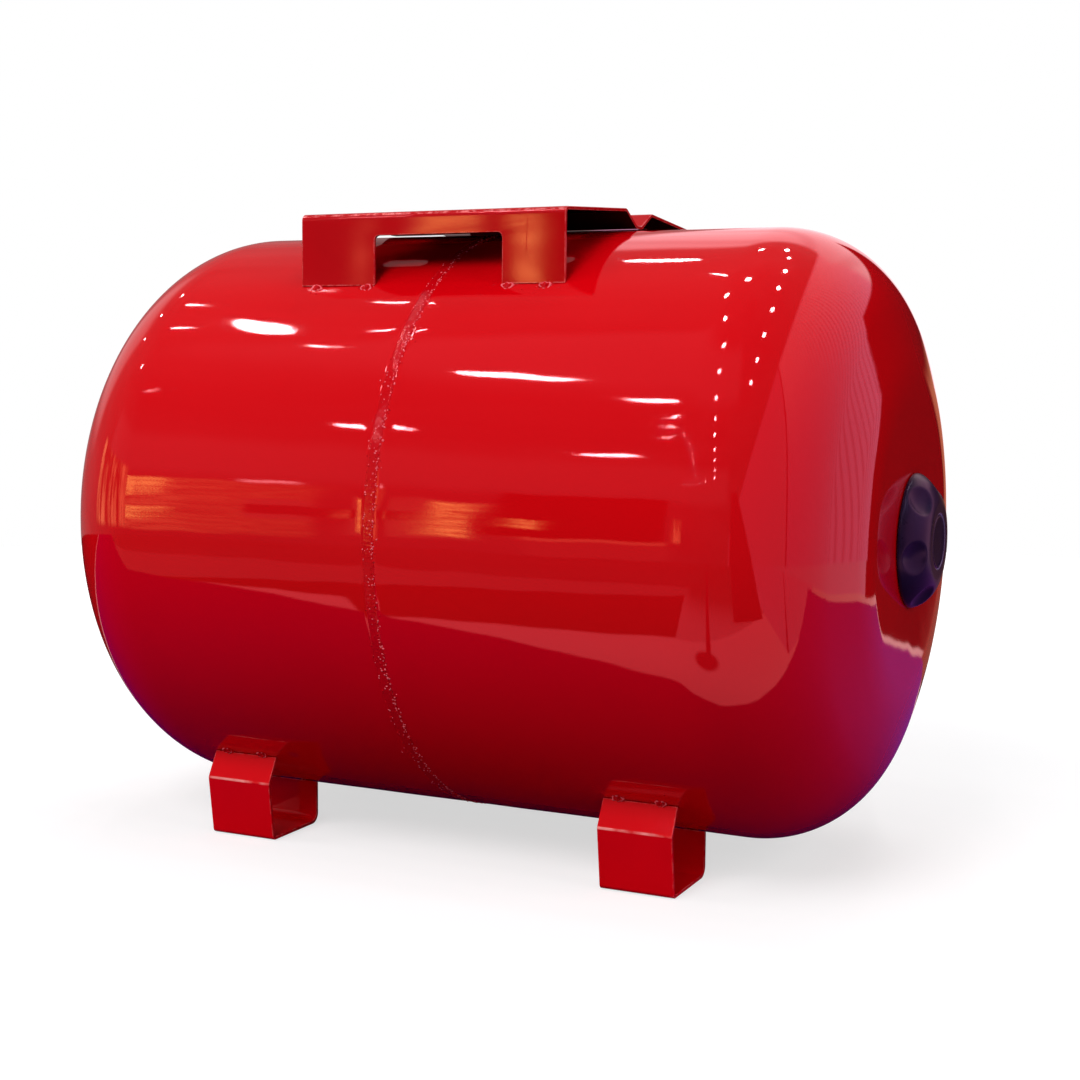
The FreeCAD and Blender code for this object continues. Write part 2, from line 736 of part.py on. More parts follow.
stem_top_x = air_face_x + stem_rise
stem_nut_x = bush_top_x + stem_nut
valve_stem = new_body("valve_stem")
barrel_radius = bush_bore_radius - stem_gap
guide_radius = pin_radius + pin_gap
revolve(valve_stem, [
    (bush_foot_x, barrel_radius), (bush_foot_x, stem_bore_radius),
    (air_face_x + pin_guide_low, stem_bore_radius), (air_face_x + pin_guide_low, guide_radius),
    (air_face_x + pin_guide_high, guide_radius), (air_face_x + pin_guide_high, stem_bore_radius),
    (stem_top_x, stem_bore_radius), (stem_top_x, stem_radius), (bush_top_x, stem_radius),
    (bush_top_x, barrel_radius)])
stem_hexagon = new_sketch(valve_stem, "YZ_Plane")
hexagon(stem_hexagon, stem_flats)
circle(stem_hexagon, (0, 0), stem_bore_radius)
stem_hexagon.setExpression("AttachmentOffset.Base.z", bush_top_x.text)
extrude(valve_stem, stem_hexagon, stem_nut, both_ways=False)

valve_pin = new_body("valve_pin")
pin_face_x = air_face_x + pin_guide_low - stem_gap
revolve(valve_pin, [(pin_face_x - pin_seal, 0), (pin_face_x - pin_seal, pin_seal_radius),
                    (pin_face_x, pin_seal_radius), (pin_face_x, pin_radius),
                    (stem_top_x - pin_short, pin_radius), (stem_top_x - pin_short, 0)])

dust_cap = new_body("valve_dust_cap")
dust_cap_bore = stem_radius + dust_cap_gap
dust_cap_roof_x = stem_top_x + dust_cap_gap * 2
revolve(dust_cap, [(stem_nut_x + dust_cap_gap * 2, dust_cap_bore), (dust_cap_roof_x, dust_cap_bore),
                   (dust_cap_roof_x, 0), (dust_cap_roof_x + dust_cap_top, 0),
                   (dust_cap_roof_x + dust_cap_top, dust_cap_bore + dust_cap_wall),
                   (stem_nut_x + dust_cap_gap * 2, dust_cap_bore + dust_cap_wall)])


# Valve cover

cover_base_x = air_face_x + cover_lift
cover_top_x = cover_base_x + cover_height
shoulder_rise = cover_height - cover_edge
shoulder_fall = cover_radius - cover_flat_radius
shoulder_chord = root(shoulder_rise * shoulder_rise + shoulder_fall * shoulder_fall)
shoulder_depth = other_side(cover_shoulder_radius, shoulder_chord / 2)
normal_x = shoulder_fall / shoulder_chord
normal_r = shoulder_rise / shoulder_chord
shoulder_centre_x = cover_base_x + cover_edge + shoulder_rise / 2 - shoulder_depth * normal_x
shoulder_centre_r = (cover_radius + cover_flat_radius) / 2 - shoulder_depth * normal_r
dimple_reach = cover_shoulder_radius + dimple_radius - dimple_depth
dimple_along, dimple_out = turned(dimple_reach, dimple_lean)
dimple_x = shoulder_centre_x + dimple_along
dimple_r = shoulder_centre_r + dimple_out


def dimples(body, radius):
    """Press six round finger recesses into a body's shoulder."""
    recess = body.newObject("PartDesign::SubtractiveSphere", f"{body.Name}_dimple")
    tie(recess, "Radius", radius)
    across, up = turned(dimple_r, dimple_start)
    place(recess, dimple_x, -across, up)
    ring = body.newObject("PartDesign::PolarPattern", f"{body.Name}_dimples")
    ring.Originals = [recess]
    ring.Axis = ([item for item in body.Origin.OriginFeatures if item.Role == "X_Axis"][0], [""])
    ring.Angle = 360
    ring.Occurrences = dimple_count
    body.Tip = ring


valve_cover = new_body("valve_cover")
revolve(valve_cover, [(cover_base_x, 0), (cover_base_x, cover_radius),
                      (cover_base_x + cover_edge, cover_radius, cover_shoulder_radius, -1),
                      (cover_top_x, cover_flat_radius), (cover_top_x, 0)])
dimples(valve_cover, dimple_radius)

# The hollow under the cover follows its outer side, one wall further in, also round the dimples.
cover_hollow = doc.addObject("PartDesign::Body", "cover_hollow")
inner_shoulder = cover_shoulder_radius - cover_wall
skirt_radius = cover_radius - cover_wall
roof_x = cover_top_x - cover_wall
skirt_x = shoulder_centre_x + other_side(inner_shoulder, skirt_radius - shoulder_centre_r)
roof_radius = shoulder_centre_r + other_side(inner_shoulder, roof_x - shoulder_centre_x)
revolve(cover_hollow, [(cover_base_x - cover_wall, 0), (cover_base_x - cover_wall, skirt_radius),
                       (skirt_x, skirt_radius, inner_shoulder, -1), (roof_x, roof_radius), (roof_x, 0)])
dimples(cover_hollow, dimple_radius + cover_wall)
hollowed = valve_cover.newObject("PartDesign::Boolean", "valve_cover_hollowed")
hollowed.Type = "Cut"
hollowed.addObjects([cover_hollow])

socket_radius = bush_radius + socket_gap
revolve(valve_cover, [(air_face_x + socket_end, socket_radius), (roof_x + cover_wall / 2, socket_radius),
                      (roof_x + cover_wall / 2, socket_radius + cover_wall),
                      (air_face_x + socket_end, socket_radius + cover_wall)])
half_line = cover_line_width / 2
revolve(valve_cover, [(cover_top_x - cover_line_depth, cover_disc_radius - half_line),
                      (cover_top_x + cover_line_depth, cover_disc_radius - half_line),
                      (cover_top_x + cover_line_depth, cover_disc_radius + half_line),
                      (cover_top_x - cover_line_depth, cover_disc_radius + half_line)], "PartDesign::Groove")


# Check and write the pieces

doc.recompute()
for item in doc.Objects:
    if "Invalid" in item.State or "Error" in item.State:
        raise RuntimeError(f"{item.Label} failed: {item.State}")
for node in nodes:
    if node.Shape.isNull() or not node.Shape.isValid():
        raise RuntimeError(f"{node.Label} has no valid shape")
for node in nodes:
    node.Shape.exportStep(f"parts/{node.Label}.step")
    box = node.Shape.BoundBox
    print(f"{node.Label:24s} {len(node.Shape.Solids)} solids {node.Shape.Volume:12.1f} mm3",
          f"x {box.XMin:.1f} {box.XMax:.1f} y {box.YMin:.1f} {box.YMax:.1f} z {box.ZMin:.1f} {box.ZMax:.1f}")
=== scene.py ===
# %% [markdown]
# # A horizontal pressure tank in red enamel
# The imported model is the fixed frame: every piece made here goes where its solids say, in metres,
# with X along the tank to the air valve, -Y towards the camera and Z up from the floor. Before anything
# is made, the box of the bare frame is kept, so that the dressed tank can be compared with it at the end.

# %% Load the frame
import bpy
import bmesh
import math
import numpy as np
from mathutils import Euler, Matrix, Vector


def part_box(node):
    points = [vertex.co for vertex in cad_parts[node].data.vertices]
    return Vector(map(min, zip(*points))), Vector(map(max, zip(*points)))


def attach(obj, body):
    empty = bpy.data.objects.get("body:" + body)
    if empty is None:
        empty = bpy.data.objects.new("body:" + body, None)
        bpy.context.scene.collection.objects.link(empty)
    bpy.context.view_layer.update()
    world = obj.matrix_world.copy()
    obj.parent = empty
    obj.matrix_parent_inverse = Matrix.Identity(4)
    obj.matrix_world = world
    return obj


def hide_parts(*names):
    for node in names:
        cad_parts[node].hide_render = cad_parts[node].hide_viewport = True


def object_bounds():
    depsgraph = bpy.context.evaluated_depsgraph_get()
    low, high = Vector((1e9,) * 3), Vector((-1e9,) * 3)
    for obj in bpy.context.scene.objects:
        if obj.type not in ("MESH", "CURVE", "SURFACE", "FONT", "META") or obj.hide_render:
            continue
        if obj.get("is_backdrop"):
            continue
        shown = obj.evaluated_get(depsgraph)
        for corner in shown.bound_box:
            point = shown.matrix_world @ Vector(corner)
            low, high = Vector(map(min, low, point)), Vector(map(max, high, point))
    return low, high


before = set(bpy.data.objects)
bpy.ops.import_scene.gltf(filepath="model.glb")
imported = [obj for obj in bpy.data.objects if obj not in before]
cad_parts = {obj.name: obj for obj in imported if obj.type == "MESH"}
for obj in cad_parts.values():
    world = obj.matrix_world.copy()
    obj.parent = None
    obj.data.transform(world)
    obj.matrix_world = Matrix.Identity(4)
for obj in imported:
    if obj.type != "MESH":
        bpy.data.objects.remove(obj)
cad_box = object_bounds()
axis_height = 0.1986
full_turn = 2 * math.pi

# %% [markdown]
# ## The camera
# The photograph was taken from about 1.1 m, a little to the right of the tank and a little above its
# middle. The place and the three angles come from fitting the tank's outline, seam, platform and feet.
# A 57 mm lens on a 36 mm sensor gives the same frame, so no shift is needed.

# %% Camera
camera_place = (0.4887, -1.0017, 0.29465)
camera_turn, camera_dip, camera_roll = 25.158, 5.576, 0.565
lens = bpy.data.cameras.new("camera")
lens.lens = 57.49
lens.sensor_width = 36
camera = bpy.data.objects.new("camera", lens)
turn = Euler((0, 0, math.radians(camera_turn))).to_matrix()
tilt = Euler((math.radians(90 - camera_dip), 0, 0)).to_matrix()
roll = Euler((0, 0, math.radians(camera_roll))).to_matrix()
camera.matrix_world = Matrix.Translation(camera_place) @ (turn @ tilt @ roll).to_4x4()
bpy.context.scene.collection.objects.link(camera)
bpy.context.scene.camera = camera
print("camera at", [round(v, 3) for v in camera.location], "focal length", lens.lens)

# %% [markdown]
# ## Fields
# A material is a net of small nodes, and much of it is plain arithmetic. Written node by node it gets
# long, so the output of a node is wrapped as a field here, which adds, subtracts and multiplies like a
# number and builds its math nodes as it goes.

# %% A field and the helpers that feed nodes
def add_node(tree, kind, feeds=None, **settings):
    """A new node with its settings, and numbers, colours or fields in its inputs."""
    node = tree.nodes.new(kind)
    for key, value in settings.items():
        setattr(node, key, value)
    return set_up(node, feeds or {})


def set_up(node, feeds):
    for label, value in feeds.items():
        feed(value, node.inputs[label])
    return node


def feed(value, socket):
    """Give a socket a number, a colour or a field."""
    if isinstance(value, Field):
        value.tree.links.new(value.socket, socket)
    elif isinstance(value, tuple) and len(value) < len(socket.default_value):
        socket.default_value = (*value, 1.0)
    else:
        socket.default_value = value


def calculate(operation, *values):
    """One step of arithmetic, of which at least one value is a field."""
    tree = next(value.tree for value in values if isinstance(value, Field))
    node = add_node(tree, "ShaderNodeMath", operation=operation)
    for value, socket in zip(values, node.inputs):
        feed(value, socket)
    return Field(node.outputs[0])


class Field:
    """The output of a node, with plain arithmetic."""

    def __init__(self, socket):
        self.socket = socket
        self.tree = socket.id_data

    def __add__(self, other):
        return calculate("ADD", self, other)

    def __sub__(self, other):
        return calculate("SUBTRACT", self, other)

    def __rsub__(self, other):
        return calculate("SUBTRACT", other, self)

    def __mul__(self, other):
        return calculate("MULTIPLY", self, other)

    def __truediv__(self, other):
        return calculate("DIVIDE", self, other)

    def __abs__(self):
        return calculate("ABSOLUTE", self)


# %% Fields that the materials share
def read(tree, kind, output):
    return Field(add_node(tree, kind).outputs[output])


def parts(vector):
    """The three parts of a vector, as fields."""
    node = add_node(vector.tree, "ShaderNodeSeparateXYZ", {"Vector": vector})
    return [Field(node.outputs[axis]) for axis in "XYZ"]


def noise_value(tree, scale, detail=2.0, roughness=0.5, stretch=None):
    place = read(tree, "ShaderNodeTexCoord", "Object")
    if stretch is not None:
        mapping = add_node(tree, "ShaderNodeMapping", {"Scale": stretch, "Vector": place})
        place = Field(mapping.outputs["Vector"])
    noise = add_node(tree, "ShaderNodeTexNoise",
                     {"Vector": place, "Scale": scale, "Detail": detail, "Roughness": roughness})
    return Field(noise.outputs["Fac"])


def between(value, low, high):
    """A soft step from 0 at the low value to 1 at the high one."""
    node = add_node(value.tree, "ShaderNodeMapRange",
                    {"Value": value, "From Min": low, "From Max": high}, interpolation_type="SMOOTHSTEP")
    return Field(node.outputs["Result"])


def above(value, limit, soft):
    """1 where a field is over a limit, which is a number or another field."""
    return between(value - limit, -soft, soft)


def below(value, limit, soft):
    return between(value - limit, soft, -soft)


def on_line(value, line, half_width, soft):
    """1 where a field lies near a line, which is a number or another field."""
    return below(abs(value - line), half_width, soft)


def linear(value, factor, start):
    """factor * value + start, in one node"""
    return calculate("MULTIPLY_ADD", value, factor, start)


def painted(base, mask, colour):
    """Lay a colour over a base where the mask is 1; each may be written or computed."""
    node = add_node(mask.tree, "ShaderNodeMix", data_type="RGBA")
    return Field(set_up(node, {"Factor": mask, "A": base, "B": colour}).outputs["Result"])


def length(first, second):
    """The length of a flat vector from its two parts."""
    return calculate("SQRT", calculate("MULTIPLY_ADD", first, first, second * second))


# %% [markdown]
# ## Shared effects for the materials
# Paint, zinc, brass and plastic share a few effects: the fine ripple that sprayed enamel dries with,
# soft blotches of colour, hairline scratches, and a mask of the edges where a coat is thin, which the
# enamels also use for a painted highlight along their edges. Each is a node group built once. A group
# puts out only a mask or a value, and each material mixes it in its own strength, so one change here
# reaches every finish.

# %% A helper to build node groups
def new_group(name, output, **inputs):
    """A group with number inputs and one output: its tree, its last socket and its input fields."""
    group = bpy.data.node_groups.new(name, "ShaderNodeTree")
    for label, value in inputs.items():
        socket = group.interface.new_socket(name=label, in_out="INPUT", socket_type="NodeSocketFloat")
        socket.default_value = value
    group.interface.new_socket(name=output, in_out="OUTPUT", socket_type="NodeSocketFloat")
    start, end = group.nodes.new("NodeGroupInput"), group.nodes.new("NodeGroupOutput")
    return group, end.inputs[output], *[Field(start.outputs[label]) for label in inputs]


def use_group(tree, group, **values):
    return Field(add_node(tree, "ShaderNodeGroup", values, node_tree=group).outputs[0])


# %% Orange peel and blotches
peel, peel_end, peel_width, peel_grain = new_group("orange_peel", "Height", Size=260.0, Grain=900.0)
wide_peel, fine_peel = noise_value(peel, peel_width, 1.0), noise_value(peel, peel_grain, 1.0)
feed(linear(fine_peel, 0.55, wide_peel * 0.25), peel_end)

blotch, blotch_end, blotch_size, blotch_strength = new_group("blotches", "Value", Size=9.0, Strength=0.1)
feed((noise_value(blotch, blotch_size, 4.0, 0.6) - 0.5) * blotch_strength, blotch_end)


# %% Hairline scratches
def hair_lines(tree, angle, scale):
    """Long thin cells, of which only the joints are kept."""
    place = add_node(tree, "ShaderNodeMapping", {
        "Rotation": (angle, angle * 0.7, angle * 1.3), "Scale": (1.0, 0.06, 0.5),
        "Vector": read(tree, "ShaderNodeTexCoord", "Object")})
    cells = add_node(tree, "ShaderNodeTexVoronoi", feature="DISTANCE_TO_EDGE")
    set_up(cells, {"Scale": scale, "Vector": Field(place.outputs["Vector"])})
    return calculate("LESS_THAN", Field(cells.outputs["Distance"]), 0.006)


hairline, hair_end, hair_amount = new_group("hairlines", "Mask", Amount=0.5)
hairs = calculate("MAXIMUM", hair_lines(hairline, 0.4, 60.0), hair_lines(hairline, 1.9, 85.0))
feed(hairs * between(noise_value(hairline, 14.0, 2.0), 0.62, 0.72) * hair_amount, hair_end)

# %% Thin edges, also used for a painted highlight
thin_lit_edge, edge_end, edge_amount = new_group("thin_edge", "Mask", Amount=1.0)
edge_bevel = add_node(thin_lit_edge, "ShaderNodeBevel", {"Radius": 0.0013}, samples=4)
edge_dot = add_node(thin_lit_edge, "ShaderNodeVectorMath", operation="DOT_PRODUCT")
feed(Field(edge_bevel.outputs["Normal"]), edge_dot.inputs[0])
feed(read(thin_lit_edge, "ShaderNodeNewGeometry", "Normal"), edge_dot.inputs[1])
edge_mask = between(1.0 - Field(edge_dot.outputs["Value"]), 0.02, 0.16)
feed(edge_mask * between(noise_value(thin_lit_edge, 180.0, 3.0), 0.35, 0.6) * edge_amount, edge_end)
print("node groups:", sorted(group.name for group in bpy.data.node_groups))

# %% [markdown]
# ## The finishes
# All steel of the vessel is sprayed in one glossy red. The look of such enamel is a saturated colour
# under a clear, nearly mirror-like surface, so the colour is kept deep and the roughness low, and the
# ripple bends the lamps' reflections a little. A principled shader with its own plain sockets does this
# in one layer. The sheet's copy of the red is painted lighter, a painted light, and the platform's copy
# darker, a painted shade. The welds get a rougher, blotchier version, and drops of spatter a thin, paler
# one, because paint runs off them; that paler colour is also a painted highlight.

# %% Red enamel on shells, sheet and welds
def new_finish(name):
    material = bpy.data.materials.new(name)
    material.use_nodes = True
    return material, material.node_tree, material.node_tree.nodes["Principled BSDF"]


def bumped(height, distance):
    """The surface's normal, tilted by a height field."""
    node = add_node(height.tree, "ShaderNodeBump", {"Height": height, "Distance": distance, "Strength": 1.0})
    return Field(node.outputs["Normal"])


def red_enamel(name, deep, bright, gloss, peel_depth, peel_size, spread, worn_and_lit=0.0, shine=0.75):
    material, tree, shader = new_finish(name)
    shade = use_group(tree, blotch, Size=spread, Strength=0.9) + 0.5
    smear = use_group(tree, blotch, Size=22.0, Strength=0.04)
    scratch = use_group(tree, hairline, Amount=0.12)
    ripple = use_group(tree, peel, Size=peel_size, Grain=peel_size * 3.5)
    thin_and_lit_edge = use_group(tree, thin_lit_edge, Amount=worn_and_lit)
    # The thin edge is laid in a light red: partly thin paint, partly a painted highlight along the edges.
    set_up(shader, {"Base Color": painted(painted(deep, shade, bright), thin_and_lit_edge, (0.92, 0.20, 0.20)),
                    "Roughness": calculate("MAXIMUM", smear + gloss + scratch, 0.02),
                    "Normal": bumped(ripple, peel_depth),
                    "IOR": 1.6, "Specular IOR Level": shine, "Specular Tint": (1.0, 0.30, 0.35)})
    return material


shell_red = red_enamel("shell_enamel_red", (0.58, 0.0004, 0.0030), (0.68, 0.0008, 0.0045), gloss=0.034,
                       peel_depth=0.000007, peel_size=300.0, spread=5.0)
# A lit copy of the one red: painted lighter than the shell, a painted light on the feet, collar and bush.
sheet_red_painted_light = red_enamel("sheet_enamel_red", (0.70, 0.0008, 0.0045), (0.84, 0.0014, 0.0065), gloss=0.055,
                       peel_depth=0.000008, peel_size=420.0, spread=16.0, worn_and_lit=0.9)
# A shaded copy of the one red: painted darker than the sheet, a painted shade on the platform.
platform_red_painted_shade = red_enamel("platform_enamel_red", (0.42, 0.0006, 0.0035), (0.52, 0.0012, 0.0050), gloss=0.045,
                          peel_depth=0.000004, peel_size=420.0, spread=16.0, worn_and_lit=0.9)
weld_red = red_enamel("weld_enamel_red", (0.48, 0.0006, 0.0035), (0.62, 0.0010, 0.0050), gloss=0.05,
                      peel_depth=0.00001, peel_size=900.0, spread=160.0, shine=0.5)
# The pale, thin coat: partly thin paint, partly a painted highlight that stands in for glints on drops and
# tack outlines.
thin_red_painted_glint = red_enamel("weld_enamel_thin_on_drops", (0.68, 0.04, 0.07), (0.92, 0.22, 0.26), gloss=0.20,
                      peel_depth=0.00001, peel_size=900.0, spread=300.0, shine=0.4)
print("enamels:", [finish.name for finish in (shell_red, sheet_red_painted_light, platform_red_painted_shade, weld_red, thin_red_painted_glint)])

# %% [markdown]
# ## Painted highlights on the folds, and painted shade inside
# A painted highlight, a light broken line, runs along the feet's crease, 36.9 mm up, and along the
# platform's two long bends. The inner faces of the platform are painted dark, a painted shade, and
# reflect less. All three are masks, made from where a point lies and where it faces.

# %% Painted highlights on the folds and painted shade inside
def paint_over(material, mask, colour):
    """Lay a colour over a material's own colour where a mask is 1."""
    socket = material.node_tree.nodes["Principled BSDF"].inputs["Base Color"]
    feed(painted(Field(socket.links[0].from_socket), mask, colour), socket)


foot_crease_height, foot_front, platform_bend = 0.0369, 0.1170, 0.1080
tree = sheet_red_painted_light.node_tree
x, y, z = parts(read(tree, "ShaderNodeNewGeometry", "Position"))
# A painted highlight along the feet's crease, broken by noise.
crease_highlight = on_line(z, foot_crease_height, 0.0007, 0.0003) * above(abs(y), foot_front, 0.0005)
paint_over(sheet_red_painted_light, crease_highlight * between(noise_value(tree, 70.0, 3.0), 0.35, 0.60), (1.0, 0.32, 0.30))

tree = platform_red_painted_shade.node_tree
x, y, z = parts(read(tree, "ShaderNodeNewGeometry", "Position"))
_, facing_y, facing_z = parts(read(tree, "ShaderNodeNewGeometry", "Normal"))
# Painted shade: the platform's inner and downward faces are painted near black and reflect less.
painted_shade_inside = calculate("MAXIMUM", between(facing_y * y * -1.0, 0.02, 0.06), between(facing_z * -1.0, 0.3, 0.7))
paint_over(platform_red_painted_shade, painted_shade_inside, (0.016, 0.002, 0.004))
feed(linear(painted_shade_inside, -0.6, 0.75), platform_red_painted_shade.node_tree.nodes["Principled BSDF"].inputs["Specular IOR Level"])
# A painted highlight along the platform's two long bends.
bend_highlight = above(facing_z, 0.525, 0.075) * below(facing_z, 0.86, 0.06) * above(abs(y), platform_bend, 0.0005)
paint_over(platform_red_painted_shade, bend_highlight * between(noise_value(tree, 230.0, 4.0, 0.65), 0.44, 0.64), (0.85, 0.20, 0.20))
print("platform enamel of", len(tree.nodes), "nodes")

# %% [markdown]
# ## Zinc, brass, rubber and plastic
# The counter flange, connection, bolts and nuts are zinc plated: a light metal with fine crystals and
# a faint yellow and blue cast from passivation. The valve is turned brass, the bladder and the dust cap
# are dark rubber and plastic. The valve cover is moulded in a violet-black plastic whose fine mould
# texture spreads its highlights. Each finish takes its variation from the shared groups.

# %% Zinc plate
zinc, tree, shader = new_finish("zinc_plate_passivated")
crystal = add_node(tree, "ShaderNodeTexVoronoi", feature="F1")
set_up(crystal, {"Scale": 420.0, "Vector": read(tree, "ShaderNodeTexCoord", "Object")})
crystal = Field(crystal.outputs["Distance"])
zinc_tint = between(noise_value(tree, 35.0, 3.0), 0.3, 0.7)
set_up(shader, {"Base Color": painted((0.53, 0.51, 0.45), zinc_tint, (0.56, 0.58, 0.63)), "Metallic": 1.0,
                "Roughness": linear(crystal, 0.22, 0.26) + use_group(tree, hairline, Amount=0.2),
                "Normal": bumped(crystal, 0.00002)})
print(zinc.name, "of", len(tree.nodes), "nodes")

# %% Turned brass
brass, tree, shader = new_finish("valve_brass_turned")
tarnish = between(noise_value(tree, 120.0, 4.0), 0.35, 0.75)
turned_lines = noise_value(tree, 1.0, 3.0, 0.5, (5200.0, 260.0, 260.0))
set_up(shader, {"Base Color": painted((0.76, 0.53, 0.20), tarnish, (0.50, 0.32, 0.12)), "Metallic": 1.0,
                "Roughness": linear(tarnish, 0.18, 0.2), "Normal": bumped(turned_lines, 0.00001)})
print(brass.name, "of", len(tree.nodes), "nodes")


# %% Moulded plastics and rubber
def moulded(name, deep, bright, gloss, grain, depth, shine):
    material, tree, shader = new_finish(name)
    tone = use_group(tree, blotch, Size=60.0, Strength=1.0) + 0.5
    rubbed = use_group(tree, blotch, Size=90.0, Strength=0.16)
    set_up(shader, {"Base Color": painted(deep, tone, bright),
                    "Roughness": rubbed + gloss + use_group(tree, hairline, Amount=0.1),
                    "Normal": bumped(noise_value(tree, grain, 2.0, 0.6), depth),
                    "Specular IOR Level": shine})
    return material


cover_plastic = moulded("cover_plastic_violet_black", (0.007, 0.003, 0.014), (0.010, 0.006, 0.034),
                        gloss=0.30, grain=1500.0, depth=0.000006, shine=0.30)
cap_plastic = moulded("dust_cap_black", (0.010, 0.010, 0.011), (0.022, 0.022, 0.024),
                      gloss=0.42, grain=1800.0, depth=0.00003, shine=0.45)
rubber = moulded("bladder_rubber_black", (0.012, 0.011, 0.011), (0.03, 0.028, 0.027),
                 gloss=0.62, grain=500.0, depth=0.0001, shine=0.35)
print("moulded:", [finish.name for finish in (cover_plastic, cap_plastic, rubber)])

# %% [markdown]
# ## The cover's middle
# The round disc in the middle of the cover is polished darker than its shoulder, and the ring around
# it carries a painted highlight in light violet. Both masks come from the distance to the tank's axis,
# and a third one keeps them on the cover's outer face.

# %% Dark disc and a painted highlight on the ring
tree = cover_plastic.node_tree
x, y, z = parts(read(tree, "ShaderNodeTexCoord", "Object"))
from_axis = length(z - axis_height, y)
disc_edge, ring_middle = 0.0147, 0.0161
face = above(x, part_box("valve_cover")[1].x - 0.0010, 0.0002)
disc = below(from_axis, disc_edge, 0.0003)
ring = on_line(from_axis, ring_middle, 0.0004, 0.0002)
# A painted highlight: the ring on the cover's face is laid in light violet.
paint_over(cover_plastic, ring * face, (0.15, 0.12, 0.24))
set_up(tree.nodes["Principled BSDF"], {"Specular Tint": (0.72, 0.52, 1.0),
                                       "Specular IOR Level": linear(disc * face, -0.26, 0.30)})
print("materials:", sorted(finish.name for finish in bpy.data.materials if not finish.name[-1].isdigit()))

# %% [markdown]
# ## The two half shells
# Each half is one deep-drawn steel pot: a straight wall, a knuckle and a dished end. A mesh turned from
# the same lines and arcs as the solid, but in much finer rings, lets the gloss flow without facets.
# Real drawn and welded steel isn't a perfect cylinder, and a mirror-like coat shows it: the weld's
# shrinkage pulls a shallow valley beside the seam, and the wall waves by a tenth of a millimetre or two.
# So every ring point is moved along its normal by a small calculated amount.

# %% Lines and arcs of a shell
tank_radius = 0.1825
shell_wall = 0.0015
half_cylinder = 0.1733
knuckle_radius = 0.0727
crown_radius = 0.398
flat_blend_radius = 0.1004
flat_distance = 0.2537
middle_x = 0.0051
seam_x = -0.0013
air_port, water_port = 0.0113, 0.0453
crown_reach = math.sqrt((crown_radius - knuckle_radius) ** 2 - (tank_radius - knuckle_radius) ** 2)


def arc_points(centre, radius, start, end, count):
    """Points and outward normals along an arc, in the plane of length and radius."""
    found = []
    for k in range(count):
        angle = start + (end - start) * k / (count - 1)
        normal = (math.cos(angle), math.sin(angle))
        found.append((centre[0] + radius * normal[0], centre[1] + radius * normal[1], *normal))
    return found


def head_profile(side, port_radius):
    """The outer line of one head, from the straight wall to its port."""
    crown_at = half_cylinder - crown_reach
    meet = math.atan2(tank_radius - knuckle_radius, crown_reach)
    line = arc_points((half_cylinder, tank_radius - knuckle_radius), knuckle_radius, math.pi / 2, meet, 44)
    if side > 0:
        blend_at = flat_distance - flat_blend_radius
        flat_radius = math.sqrt((crown_radius - flat_blend_radius) ** 2 - (blend_at - crown_at) ** 2)
        blend = math.atan2(flat_radius, blend_at - crown_at)
        line += arc_points((crown_at, 0), crown_radius, meet, blend, 8)[1:]
        line += arc_points((blend_at, flat_radius), flat_blend_radius, blend, 0, 24)[1:]
        line += [(flat_distance, r, 1.0, 0.0) for r in np.linspace(flat_radius, port_radius, 26)[1:]]
    else:
        end = math.asin(port_radius / crown_radius)
        line += arc_points((crown_at, 0), crown_radius, meet, end, 60)[1:]
    return [(middle_x + side * along, r, side * nx, nr) for along, r, nx, nr in line]


print("heads of", len(head_profile(1, air_port)), "and", len(head_profile(-1, water_port)), "rings")


# %% Small unevenness of the steel
def steel_wave(x, angle):
    """How far the wall stands from its ideal form, in metres."""
    beside = x - seam_x
    pull = 0.75 + 0.25 * np.sin(9 * angle + 0.7) + 0.3 * np.sin(23 * angle + 2.1) + 0.2 * np.sin(41 * angle)
    valley = -0.00023 * pull * np.exp(-(beside / 0.0065) ** 2)
    swell = 0.00005 * pull * np.exp(-((np.abs(beside) - 0.031) / 0.016) ** 2)
    slow = 0.00007 * np.sin(x * 31 + 3 * angle) + 0.00006 * np.sin(x * 47 - 5 * angle + 1.3)
    quick = 0.00002 * np.sin(x * 95 + 11 * angle + 0.5) + 0.000016 * np.sin(x * 140 - 17 * angle + 2.4)
    wall = 1 - np.clip((np.abs(x - middle_x) - half_cylinder) / 0.05, 0, 1)
    return valley + swell + (slow + quick) * (0.35 + 0.65 * wall)


# %% Helpers that make a piece
def show(name, mesh):
    """Put a mesh into the scene as a piece."""
    piece = bpy.data.objects.new(name, mesh)
    bpy.context.scene.collection.objects.link(piece)
    return piece


def settle(form, name):
    """Turn an edited form into a mesh."""
    mesh = bpy.data.meshes.new(name)
    form.to_mesh(mesh)
    form.free()
    return mesh


def dress(mesh, material, sharp=None):
    """Smooth shading and a material; edges steeper than the sharp angle stay crisp."""
    mesh.polygons.foreach_set("use_smooth", [True] * len(mesh.polygons))
    if material:
        mesh.materials.append(material)
    if sharp:
        mesh.set_sharp_from_angle(angle=math.radians(sharp))
    return mesh


def mesh_piece(name, points, faces, material):
    mesh = bpy.data.meshes.new(name)
    mesh.from_pydata([tuple(p) for p in points], [], faces)
    mesh.validate()
    return show(name, dress(mesh, material))


def mount(piece, node, body="tank"):
    """Let a piece stand for a node and ride a body."""
    if node:
        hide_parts(node)
    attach(piece, body)
    print(piece.name, len(piece.data.polygons), "faces")


def ring_faces(rows, columns, closed=False):
    """Quads between rows of a closed ring of columns."""
    faces = []
    for i in range(rows if closed else rows - 1):
        low, high = i * columns, ((i + 1) % rows) * columns
        for j in range(columns):
            after = (j + 1) % columns
            faces.append((low + j, low + after, high + after, high + j))
    return faces


